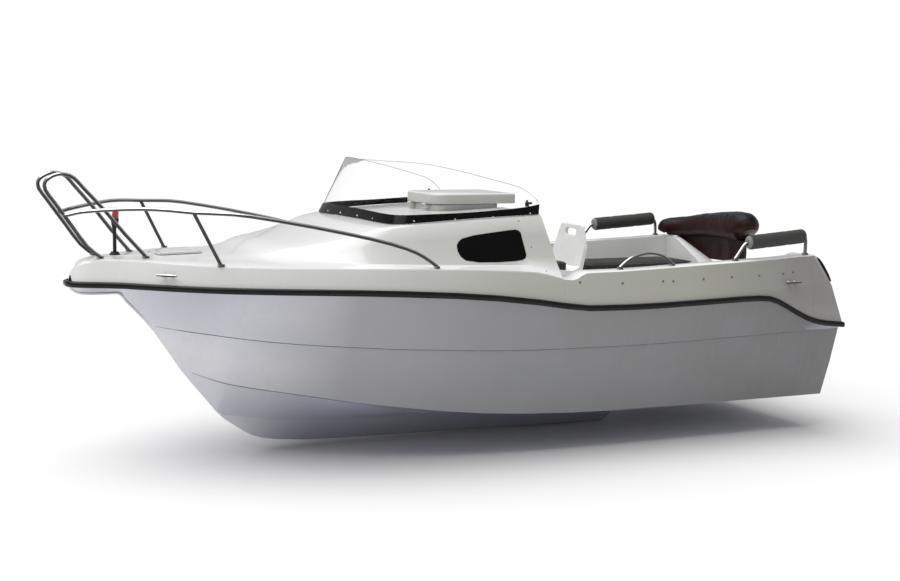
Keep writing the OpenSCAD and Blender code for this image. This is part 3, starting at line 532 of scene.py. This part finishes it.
def smooth_edges(piece, angle, softened=None):
    """Smooth shading that stays sharp at edges over an angle, in degrees."""
    for polygon in piece.data.polygons:
        polygon.use_smooth = True
    weld = piece.modifiers.new("weld", "WELD")
    weld.merge_threshold = 0.00002
    if softened:
        bevel = piece.modifiers.new("bevel", "BEVEL")
        bevel.width = softened
        bevel.segments = 3
        bevel.limit_method = "ANGLE"
        bevel.angle_limit = math.radians(32)
    split = piece.modifiers.new("split", "EDGE_SPLIT")
    split.split_angle = math.radians(angle)


for name, node in nodes.items():
    finish = FINISHES.get(name, steel if name.startswith(STEEL_STARTS) else deck_white)
    node.data.materials.clear()
    node.data.materials.append(finish)
    smooth_edges(node, {"hull_moulding": 21, "steering_wheel": 50, "rub_rail": 50}.get(name, 34), SOFTENED.get(name))
print("dressed", len(nodes), "nodes")

# %% [markdown]
# ## Placing fittings
# A small screw on the photograph has only a place across and down the picture. A ray from the
# camera through that place meets one of the solids, and the meeting point, with the direction
# that the solid faces there, is where the screw sits. The boat is the same on both sides, so
# most of them are also set on starboard, mirrored.

# %% Rays from the camera
from mathutils.bvhtree import BVHTree

PHOTO = (900, 581)
body_of = {name: "boat_body" for name in nodes}
body_of.update(
    hatch_lid="lid_body",
    companion_door="door_body",
    steering_wheel="wheel_body",
    anchor_locker_lid="locker_lid_body",
)


def surface_of(name):
    mesh = nodes[name].data
    corners = [v.co for v in mesh.vertices]
    return BVHTree.FromPolygons(corners, [tuple(p.vertices) for p in mesh.polygons])


trees = {}


def sight_through(across, down):
    """The direction in which the camera sees a place on the photograph."""
    wide = (across / PHOTO[0] - 0.5) * 36
    high = (PHOTO[1] / 2 - down) / PHOTO[0] * 36
    return (camera_right * wide + camera_up * high - camera_back * 60).normalized()


def seat(across, down, name):
    """Where the line of sight through a place on the photograph meets a node, and its facing."""
    if name not in trees:
        trees[name] = surface_of(name)
    sight = sight_through(across, down)
    spot, facing, _, _ = trees[name].ray_cast(camera.matrix_world.translation, sight)
    return spot, facing


print("band meets the sight line at", seat(414, 221, "screen_band"))

# %% [markdown]
# Every new piece goes through one function, which joins its mesh to a finish and lets it ride on
# the body that carries it. Small round fittings come from a turned outline: a list of radius and
# height pairs, spun about an axis and set on a spot.


# %% Making pieces
def add_piece(name, mesh, finish, body="boat_body", angle=40):
    piece = bpy.data.objects.new(name, mesh)
    bpy.context.scene.collection.objects.link(piece)
    mesh.materials.append(finish)
    for polygon in mesh.polygons:
        polygon.use_smooth = True
    if angle:
        split = piece.modifiers.new("split", "EDGE_SPLIT")
        split.split_angle = math.radians(angle)
    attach(piece, body)
    return piece


def turned(bm, outline, spot, axis, sides=16):
    """Adds a turned form: outline is a list of (radius, height) along the axis from the spot."""
    spin = Vector(axis).to_track_quat("Z", "Y").to_matrix()
    rings = []
    for radius, height in outline:
        ring = []
        for k in range(sides):
            turn = 2 * math.pi * k / sides
            local = Vector((radius * math.cos(turn), radius * math.sin(turn), height))
            ring.append(bm.verts.new(Vector(spot) + spin @ local))
        rings.append(ring)
    for low, high in zip(rings, rings[1:]):
        for k in range(sides):
            m = (k + 1) % sides
            bm.faces.new((low[k], low[m], high[m], high[k]))
    bm.faces.new(rings[-1])
    bm.faces.new(list(reversed(rings[0])))


def from_bmesh(name, bm):
    bmesh.ops.recalc_face_normals(bm, faces=bm.faces)
    mesh = bpy.data.meshes.new(name)
    bm.to_mesh(mesh)
    bm.free()
    return mesh


SCREW_HEAD = [(0.0052, -0.001), (0.0052, 0.0006), (0.0042, 0.0022), (0.0020, 0.0030)]
SNAP_STUD = [(0.0085, -0.001), (0.0085, 0.0012), (0.0070, 0.0022), (0.0045, 0.0026), (0.0042, 0.0062), (0.0025, 0.0070)]


def fasteners(name, outline, places, finish, both_sides=True):
    bm = bmesh.new()
    for across, down, node in places:
        spot, facing = seat(across, down, node)
        if spot is None:
            print("no surface at", across, down, node)
            continue
        for side in (1, -1) if both_sides else (1,):
            turned(bm, outline, (spot.x, spot.y * side, spot.z), (facing.x, facing.y * side, facing.z), 12)
    piece = add_piece(name, from_bmesh(name, bm), finish)
    print(name, len(bm_count(piece)), "faces")
    return piece


def bm_count(piece):
    return piece.data.polygons


# %% [markdown]
# ## Screws and studs
# The band at the foot of the screen is held by bright round screws, the cabin side carries a few
# more, and snap studs along the coaming take the hem of the canopy.

# %% Small fasteners
BAND_SCREWS = [(328, 210.7), (340.6, 212.6), (357.4, 215.6), (414, 221.2), (455.2, 219.3), (493.2, 217.0), (530.2, 213.3)]
SIDE_SCREWS = [(518.7, 221.0), (531.3, 247.0), (546.2, 271.1)]
COAMING_STUDS = [
    (580.1, 282.5), (622.6, 283.3), (663.1, 281.2), (673.3, 281.2), (703.5, 279.1), (731.8, 277.2),
    (759.4, 275.7), (783.3, 273.7), (792.8, 272.2),
]
fasteners("band_screws", SCREW_HEAD, [(x, y, "screen_band") for x, y in BAND_SCREWS], screw_nickel)
fasteners("side_screws", SCREW_HEAD, [(x, y, "foredeck_cabin") for x, y in SIDE_SCREWS], aged_brass)
fasteners("canopy_studs", SNAP_STUD, [(x, y, "cockpit_moulding") for x, y in COAMING_STUDS], aged_brass)

# %% [markdown]
# ## Creases of the hull
# Three long creases run along each side of the hull: a small step half way up, the chine where
# the side turns into the bottom, and a low strake near the keel. On the moulding they are only a
# few millimetres deep, too fine for the solid to shade clearly, so a slim dark bead lies in the
# step and in the chine and paints the shade line along it. At every station a ray from outside
# finds the hull's skin at the crease's height.

# %% Crease beads
STEP = [
    (545, 905), (660, 893), (790, 879), (1157, 846), (1501, 825), (2093, 791), (2901, 756),
    (3789, 749), (4502, 762), (5333, 779), (5443, 782),
]
CHINE = [(770, 590), (1008, 517), (1339, 474), (1909, 394), (2566, 319), (2982, 291), (3631, 270), (4164, 267)]
hull_tree = surface_of("hull_moulding")


def height_along(rows, x):
    """The drawing's own smooth curve through the rows, which never swings past them."""

    def rise(i):
        return (rows[i + 1][1] - rows[i][1]) / (rows[i + 1][0] - rows[i][0])

    def lean(i):
        if i in (0, len(rows) - 1):
            return rise(min(i, len(rows) - 2))
        a, b = rise(i - 1), rise(i)
        return 0 if a * b <= 0 else 2 * a * b / (a + b)

    i = max(k for k in range(len(rows) - 1) if k == 0 or rows[k][0] <= x)
    run = rows[i + 1][0] - rows[i][0]
    u = (x - rows[i][0]) / run
    return (
        rows[i][1] * (2 * u**3 - 3 * u**2 + 1) + lean(i) * run * (u**3 - 2 * u**2 + u)
        + rows[i + 1][1] * (3 * u**2 - 2 * u**3) + lean(i + 1) * run * (u**3 - u**2)
    )


def crease(name, rows, radius, finish, start=0):
    bm = bmesh.new()
    for sign in (1, -1):
        path = []
        x = rows[0][0] + start
        while x < min(rows[-1][0], 5380):
            origin = place(x, sign * 2000, height_along(rows, x))
            hit, _, _, _ = hull_tree.ray_cast(origin, Vector((0, -sign, 0)))
            if hit:
                path.append(hit)
            x += 36
        radii_here = [radius * min(1, 0.3 + k / 6, 0.3 + (len(path) - 1 - k) / 6) for k in range(len(path))]
        sweep(bm, path, radii_here, 8)
    add_piece(name, from_bmesh(name, bm), finish, angle=0)
    print(name, "of", len(path), "points a side")


# %% [markdown]
# ## The screen's edge
# The clear sheet ends in a cut edge, which catches the light as a thin dark line. A slim bead
# along the same points as the sheet's top shows it.


# %% Screen edge bead
def curve_through(points, steps):
    """Points of a smooth curve through the corners of a path."""
    out = []
    last = len(points) - 1
    for i in range(last):
        a, b, c, d = (points[max(0, min(last, k))] for k in (i - 1, i, i + 1, i + 2))
        for s in range(steps):
            u = s / steps
            out.append(
                0.5 * (2 * b + (c - a) * u + (2 * a - 5 * b + 4 * c - d) * u * u + (3 * b - a - 3 * c + d) * u * u * u)
            )
    return out + [points[last]]


def sweep(bm, path, radius, sides=8, squash=1.0):
    """A tube along a path, or along several radii, flattened by squash."""
    rings = []
    last = len(path) - 1
    for i, point in enumerate(path):
        along = (path[min(i + 1, last)] - path[max(i - 1, 0)]).normalized()
        side = along.cross(Vector((0, 0, 1)))
        side = side.normalized() if side.length > 0.1 else along.cross(Vector((0, 1, 0))).normalized()
        up = side.cross(along)
        r = radius[i] if isinstance(radius, list) else radius
        rings.append(
            [
                bm.verts.new(point + side * r * math.cos(t) + up * r * squash * math.sin(t))
                for t in (2 * math.pi * k / sides for k in range(sides))
            ]
        )
    for low, high in zip(rings, rings[1:]):
        for k in range(sides):
            m = (k + 1) % sides
            bm.faces.new((low[k], low[m], high[m], high[k]))
    bm.faces.new(rings[-1])
    bm.faces.new(list(reversed(rings[0])))


# The dark beads paint the shade line along the step and the chine.
crease("step_bead", STEP, 0.0030, painted_crease_shade, 25)
crease("chine_bead", CHINE, 0.0032, painted_crease_shade, 40)

SCREEN_TOP = [
    (2055, 0, 2003), (2068, 220, 2003), (2112, 420, 2002), (2180, 560, 2000), (2300, 652, 1985),
    (2490, 706, 1945), (2745, 738, 1882), (2935, 764, 1826), (3046, 792, 1738),
]
half = [place(x, y - 1, z + 1) for x, y, z in SCREEN_TOP]
whole = [Vector((p.x, -p.y, p.z)) for p in reversed(half[1:])] + half
bm = bmesh.new()
sweep(bm, curve_through(whole, 4), 0.0018, 6)
screen_edge = add_piece("screen_edge", from_bmesh("screen_edge", bm), dark_edge)
print("screen edge bead of", len(whole), "points")

# %% [markdown]
# ## Latches behind the band
# A small black latch stands on the band's upper edge near its after end, on each side. The line of
# sight through its foot in the photograph gives the height at which it stands.

# %% Latches
spot, _ = seat(527, 211, "screen_band")
sight = sight_through(527, 205)
eye = camera.matrix_world.translation
foot = eye + sight * ((spot.y + 0.012 - eye.y) / sight.y)
bm = bmesh.new()
for sign in (1, -1):
    base = Vector((foot.x, foot.y * sign, foot.z))
    turned(bm, [(0.014, -0.010), (0.014, 0.006), (0.008, 0.010), (0.006, 0.022), (0.010, 0.026), (0.004, 0.034)], base, (0, 0, 1), 20)
    turned(bm, [(0.005, -0.026), (0.008, -0.022), (0.008, 0.022), (0.005, 0.026)], base + Vector((0.012, 0, 0.012)), (1, 0, 0), 14)
add_piece("canopy_latches", from_bmesh("canopy_latches", bm), black_plastic)
print("latches stand at", foot)

# %% [markdown]
# ## Cushions
# The bench and the helm seat carry vinyl cushions over foam. A cushion is a box of foam in a
# sewn cover: it crowns in the middle, and its sides pull in between the corners. A rounded slab
# is remeshed fine, blown up a little by the Cloth solver with no gravity, and then applied.
# The solver may move a point only so far, so the cushion keeps its size. The sewn channels and
# the piping come after, because the remesh would wipe them out.


# %% Cushion maker
def rounded_slab(low, high, radius, steps=5):
    """A box with rounded upright edges between two corners."""
    bm = bmesh.new()
    outline = []
    for cx, cy, start in (
        (high[0] - radius, high[1] - radius, 0), (low[0] + radius, high[1] - radius, 90),
        (low[0] + radius, low[1] + radius, 180), (high[0] - radius, low[1] + radius, 270),
    ):
        for s in range(steps + 1):
            t = math.radians(start + 90 * s / steps)
            outline.append((cx + radius * math.cos(t), cy + radius * math.sin(t)))
    bottom = [bm.verts.new((x, y, low[2])) for x, y in outline]
    top = [bm.verts.new((x, y, high[2])) for x, y in outline]
    bm.faces.new(list(reversed(bottom)))
    bm.faces.new(top)
    count = len(outline)
    for k in range(count):
        m = (k + 1) % count
        bm.faces.new((bottom[k], bottom[m], top[m], top[k]))
    return bm


def inflate(piece, cap, voxel=0.006):
    """Blows a closed piece up with the Cloth solver, no point further than cap."""
    remesh = piece.modifiers.new("remesh", "REMESH")
    remesh.mode = "VOXEL"
    remesh.voxel_size = voxel
    bpy.context.view_layer.update()
    graph = bpy.context.evaluated_depsgraph_get()
    mesh = bpy.data.meshes.new_from_object(piece.evaluated_get(graph))
    piece.modifiers.clear()
    piece.data = mesh
    start = [v.co.copy() for v in mesh.vertices]
    cloth = piece.modifiers.new("cloth", "CLOTH")
    cloth.settings.use_pressure = True
    cloth.settings.uniform_pressure_force = 4
    cloth.settings.effector_weights.gravity = 0
    cloth.settings.quality = 4
    scene = bpy.context.scene
    for frame_number in range(1, 21):
        scene.frame_set(frame_number)
    graph = bpy.context.evaluated_depsgraph_get()
    blown = bpy.data.meshes.new_from_object(piece.evaluated_get(graph))
    piece.modifiers.clear()
    for vertex, origin in zip(blown.vertices, start):
        move = vertex.co - origin
        if move.length > cap:
            move *= cap / move.length
        vertex.co = origin + move
    piece.data = blown
    scene.frame_set(1)


def cushion(name, node, finish, inset, radius, cap, channels=(), crown=0.0, slope=0.0):
    low, high = (Vector(corner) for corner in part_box(node))
    low += Vector((inset, inset, 0.001))
    high -= Vector((inset, inset, inset))
    bm = rounded_slab(low, high, radius)
    mesh = from_bmesh(name, bm)
    piece = add_piece(name, mesh, finish, angle=0)
    inflate(piece, cap)
    centre = (low + high) / 2
    reach = (high - low) / 2
    for vertex in piece.data.vertices:
        p = vertex.co
        if p.z > centre.z:
            u = min(1, abs(p.x - centre.x) / reach.x)
            v = min(1, abs(p.y - centre.y) / reach.y)
            p.z += crown * (1 - u**4) * (1 - v**4)
            for line in channels:
                d = (p.x - line) / 0.007
                p.z -= 0.007 * math.exp(-d * d) * min(1, (1 - v) * 8)
        p.z = max(p.z, low.z)
        p.z -= slope * (p.x - centre.x)
    if finish.name not in [m.name for m in piece.data.materials if m]:
        piece.data.materials.append(finish)
    for polygon in piece.data.polygons:
        polygon.use_smooth = True
    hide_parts(node)
    print(name, len(piece.data.vertices), "points")
    return piece


# %% The two cushions
bench_low, bench_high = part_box("bench_cushion")
channel_lines = [bench_low[0] + (bench_high[0] - bench_low[0]) * k / 6 for k in range(1, 6)]
bench_pad = cushion("bench_pad", "bench_cushion", cushion_vinyl, 0.010, 0.035, 0.009, channel_lines, 0.004)
helm_pad = cushion("helm_pad", "helm_seat_cushion", cushion_vinyl, 0.010, 0.04, 0.008, (), 0.006, 0.0)

# %% [markdown]
# Piping is a thin cord sewn into the seam round a cushion's top edge. It follows the slab's
# rounded outline, just under the crown.


# %% Piping
def piping(name, node, inset, radius, height, finish):
    low, high = (Vector(corner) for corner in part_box(node))
    outline = []
    for cx, cy, start in (
        (high.x - inset - radius, high.y - inset - radius, 0), (low.x + inset + radius, high.y - inset - radius, 90),
        (low.x + inset + radius, low.y + inset + radius, 180), (high.x - inset - radius, low.y + inset + radius, 270),
    ):
        for s in range(9):
            t = math.radians(start + 90 * s / 8)
            outline.append(Vector((cx + radius * math.cos(t), cy + radius * math.sin(t), height)))
    bm = bmesh.new()
    sweep(bm, outline + [outline[0]], 0.0032, 8)
    return add_piece(name, from_bmesh(name, bm), finish, angle=0)


piping("bench_piping", "bench_cushion", 0.0045, 0.038, bench_high[2] - 0.012, piping_vinyl)
print("piping sewn")

# %% [markdown]
# ## Foam bolsters
# The two bent tubes on the coaming wear thick foam sleeves with rounded, paler ends. A sleeve is
# a turned form with a hole through it, so its outline runs out from the hole, over the rounded
# end, along the side with a few soft creases, and back into the hole.


# %% Foam sleeves
def sleeve(name, node, start, end, outer, inner):
    axis = (end - start).normalized()
    length = (end - start).length
    outline = []
    for s in range(9):
        t = math.pi / 2 * s / 8
        outline.append((inner + (outer - inner) * math.sin(t), 0.030 * (1 - math.cos(t))))
    for s in range(1, 24):
        h = 0.030 + (length - 0.060) * s / 24
        outline.append((outer - 0.0015 * (1 + math.sin(s * 1.9)) * (s % 5 == 2), h))
    for s in range(9):
        t = math.pi / 2 * s / 8
        outline.append((inner + (outer - inner) * math.cos(t), length - 0.030 * (1 - math.sin(t))))
    spin = axis.to_track_quat("Z", "Y").to_matrix()
    bm = bmesh.new()
    sides = 48
    rings = []
    for radius, height in outline:
        ring = []
        for k in range(sides):
            turn = 2 * math.pi * k / sides
            sag = 1 - 0.012 * math.sin(3 * turn + height * 9)
            ring.append(bm.verts.new(start + spin @ Vector((radius * sag * math.cos(turn), radius * sag * math.sin(turn), height))))
        rings.append(ring)
    rings.append(rings[0])
    for low, high in zip(rings, rings[1:]):
        for k in range(sides):
            m = (k + 1) % sides
            bm.faces.new((low[k], low[m], high[m], high[k]))
    piece = add_piece(name, from_bmesh(name, bm), foam_sleeve(axis, start, length), angle=0)
    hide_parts(node)
    return piece


def foam_sleeve(axis, start, length):
    """Closed-cell foam, with paler caps near both ends."""
    paint = Paint("foam_sleeve")
    point = paint.where()
    cells = paint.node("ShaderNodeTexVoronoi", {}, Vector=point, Scale=420.0)
    dust = paint.noise(point, 16.0, 5.0)
    along = paint.axis(point, "X")
    middle = (start.x + start.x + axis.x * length) / 2
    reach = abs(axis.x) * length / 2
    near_end = paint.ramp((along - middle).size() / reach, (0.93, (0, 0, 0)), (0.96, (1, 1, 1)))
    body = paint.mix(dust, (0.022, 0.022, 0.020), (0.042, 0.042, 0.038))
    paint.set(
        Base_Color=paint.mix(near_end, body, (0.20, 0.20, 0.20)),
        Roughness=0.6 + 0.2 * dust,
        Normal=paint.bump(cells, 0.5, 0.0012),
    )
    return paint.material


FOAM_REACH = {"port": (4700, 5165, -1), "starboard": (4560, 5110, 1)}
for side, (x0, x1, sign) in FOAM_REACH.items():
    sleeve(
        "foam_sleeve_" + side, "foam_rest_" + side, place(x0 - 24, 965 * sign, 1431),
        place(x1 + 22, 965 * sign, 1433 + 39), 0.0520, 0.0135,
    )
print("foam sleeves made")

# %% [markdown]
# ## The canopy in its boot
# The folded canopy lies along the stern in a zipped boot. Inside it the cloth is gathered, so the
# boot shows long folds that twist a little. The roll follows the solid's own path, and its radius
# is pushed in and out by folds and a little noise.

# %% Canopy roll
from mathutils import noise

ROLL = [
    (5205, 938, 30), (5216, 930, 56), (5240, 908, 72), (5290, 840, 80), (5338, 720, 88), (5370, 520, 100),
    (5384, 320, 112), (5381, 140, 120), (5378, 20, 121), (5376, -22, 106), (5375, -42, 72),
]


def roll_bottom(y):
    return 1330 if y > 600 else 1341


centres = curve_through([place(x, y, roll_bottom(y) + r) for x, y, r in ROLL], 14)
radii = [p.x for p in curve_through([Vector((r / 1000, 0, 0)) for _, _, r in ROLL], 14)]
travelled = [0.0]
for a, b in zip(centres, centres[1:]):
    travelled.append(travelled[-1] + (b - a).length)
bm = bmesh.new()
SIDES = 96
rings = []
last = len(centres) - 1
for i, point in enumerate(centres):
    along = (centres[min(i + 1, last)] - centres[max(i - 1, 0)]).normalized()
    side = along.cross(Vector((0, 0, 1))).normalized()
    up = side.cross(along)
    share = travelled[i] / travelled[-1]
    ring = []
    for k in range(SIDES):
        turn = 2 * math.pi * k / SIDES
        twist = turn + 1.2 * share
        pucker = math.sin(travelled[i] * 95 + 3 * math.sin(2 * turn) + 9 * noise.noise(Vector((turn, share * 6, 2))))
        crest = max(0.0, math.sin(turn)) ** 0.7
        fold = math.sin(5 * twist + 2.0 * math.sin(5 * share)) * 0.4
        rough = noise.noise(Vector((math.cos(turn) * 1.8, math.sin(turn) * 1.8, share * 14)))
        seam = math.exp(-(((turn - 3.9) / 0.10) ** 2))
        r = radii[i] * (0.965 + 0.012 * fold + 0.030 * rough + 0.014 * pucker * crest - 0.04 * seam)
        flat = max(-radii[i] + 0.001, r * math.sin(turn))
        ring.append(bm.verts.new(point + side * r * math.cos(turn) + up * flat))
    rings.append(ring)
for low, high in zip(rings, rings[1:]):
    for k in range(SIDES):
        m = (k + 1) % SIDES
        bm.faces.new((low[k], low[m], high[m], high[k]))
bm.faces.new(rings[-1])
bm.faces.new(list(reversed(rings[0])))
canopy_boot = add_piece("canopy_boot", from_bmesh("canopy_boot", bm), canopy_cloth, angle=0)
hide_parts("canopy_roll")
print("boot of", len(centres), "rings,", round(travelled[-1], 3), "m long")

# %% [markdown]
# A flap of the same cloth hangs from the roll inside the stern. It is one sheet with soft
# hanging folds, deeper towards its free hem.

# %% Hanging flap
ACROSS, DOWN = 120, 34
FLAP_PORT, FLAP_STARBOARD = -0.02, 0.86


def roll_at(y):
    """Where the roll's middle lies at a distance from the centre line, with its radius."""
    return min(zip(centres, radii), key=lambda pair: abs(pair[0].y - y) + 9 * (pair[0].x < 2.4))


quarter_tree = surface_of("stern_quarters")
bm = bmesh.new()
grid = []
for j in range(DOWN + 1):
    fall = j / DOWN
    row = []
    for i in range(ACROSS + 1):
        y = FLAP_PORT + (FLAP_STARBOARD - FLAP_PORT) * i / ACROSS
        middle, _ = roll_at(y)
        head = place(0, 0, 1352).z
        under, _, _, _ = quarter_tree.ray_cast(Vector((middle.x, y, 1.04)), Vector((0, 0, -1)))
        hem = min(head - 0.02, max(place(0, 0, 1165).z, under.z + 0.012 if under else -1))
        wave = 0.006 * fall * (math.sin(y * 24) + 0.6 * math.sin(y * 43 + 1)) + 0.02 * math.sin(math.pi * fall) * 0.4
        row.append(bm.verts.new((middle.x - 0.004 + wave, y, head + (hem - head) * fall)))
    grid.append(row)
for above, below in zip(grid, grid[1:]):
    for i in range(ACROSS):
        bm.faces.new((above[i], above[i + 1], below[i + 1], below[i]))
cloth_area = sum(face.calc_area() for face in bm.faces)
flap = add_piece("canopy_hanging_flap", from_bmesh("canopy_hanging_flap", bm), canopy_cloth, angle=0)
thick = flap.modifiers.new("thickness", "SOLIDIFY")
thick.thickness = 0.0015
thick.offset = 0
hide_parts("canopy_flap")
print("flap of", round(cloth_area, 4), "square metres")

# %% [markdown]
# ## Rubber on the quarters
# A soft black strip covers the after edge of each quarter. It is broad in the middle and runs
# to a point at both ends, so its width follows a short list along its path.

# %% Quarter strips
EDGE = [(1040, 1132), (1022, 1176), (1002, 1215), (984, 1256), (965, 1292), (930, 1306)]
for side, sign in (("port", -1), ("starboard", 1)):
    low, high = (Vector(corner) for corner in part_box("stern_pad_" + side))
    share = [(z - 1132) / (1306 - 1132) for _, z in EDGE]
    after = [high.x - 0.008 - (high.x - low.x - 0.016) * u for u in share]
    path = [Vector((x, y * sign / 1000, (z - 290) / 1000)) for x, (y, z) in zip(after, EDGE)]
    path = curve_through(path, 6)
    count = len(path) - 1
    width = [0.0085 * (0.35 + 0.65 * math.sin(math.pi * min(1, 0.08 + 0.9 * k / count))) for k in range(count + 1)]
    bm = bmesh.new()
    sweep(bm, path, width, 16, 2.6)
    strip = add_piece("quarter_strip_" + side, from_bmesh("quarter_strip", bm), rub_rubber, angle=0)
    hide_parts("stern_pad_" + side)
print("quarter strips made")

# %% [markdown]
# ## Floor and light
# The boat stands in a plain studio, its keel just over a pale floor. Light comes from a large
# soft panel overhead, so that the deck is bright and the hull's side falls into shade.

# %% Stage and lamps
floor_mesh = bpy.data.meshes.new("floor")
floor_mesh.from_pydata(
    [(-60, -60, 0), (60, -60, 0), (60, 60, 0), (-60, 60, 0)], [], [(0, 1, 2, 3)]
)
floor = bpy.data.objects.new("floor", floor_mesh)
floor.location = (0, 0, -KEEL_TO_WATER / 1000 - 0.002)
bpy.context.scene.collection.objects.link(floor)
floor_paint = Paint("floor_paint")
floor_paint.set(Base_Color=(0.75, 0.75, 0.75), Roughness=0.95, Specular_IOR_Level=0.1)
floor_mesh.materials.append(floor_paint.material)


sky_data = bpy.data.lights.new("soft_overhead", "SUN")
sky_data.energy = 3.1
sky_data.angle = math.radians(70)
overhead = bpy.data.objects.new("soft_overhead", sky_data)
overhead.rotation_euler = Vector((-0.36, 0.10, 1.0)).to_track_quat("Z", "Y").to_euler()
bpy.context.scene.collection.objects.link(overhead)
world = bpy.data.worlds.new("studio")
bpy.context.scene.world = world
world.use_nodes = True
shown = world.node_tree.nodes["Background"]
shown.inputs["Strength"].default_value = 0.45
shown.inputs["Color"].default_value = (1.0, 1.0, 1.0, 1)
backdrop = world.node_tree.nodes.new("ShaderNodeBackground")
backdrop.inputs["Color"].default_value = (1.0, 1.0, 1.0, 1)
backdrop.inputs["Strength"].default_value = 1.0
straight = world.node_tree.nodes.new("ShaderNodeLightPath")
either = world.node_tree.nodes.new("ShaderNodeMixShader")
link = world.node_tree.links.new
link(straight.outputs["Is Camera Ray"], either.inputs[0])
link(shown.outputs[0], either.inputs[1])
link(backdrop.outputs[0], either.inputs[2])
link(either.outputs[0], world.node_tree.nodes["World Output"].inputs["Surface"])
bpy.context.scene.view_settings.view_transform = "Standard"
print("stage set")
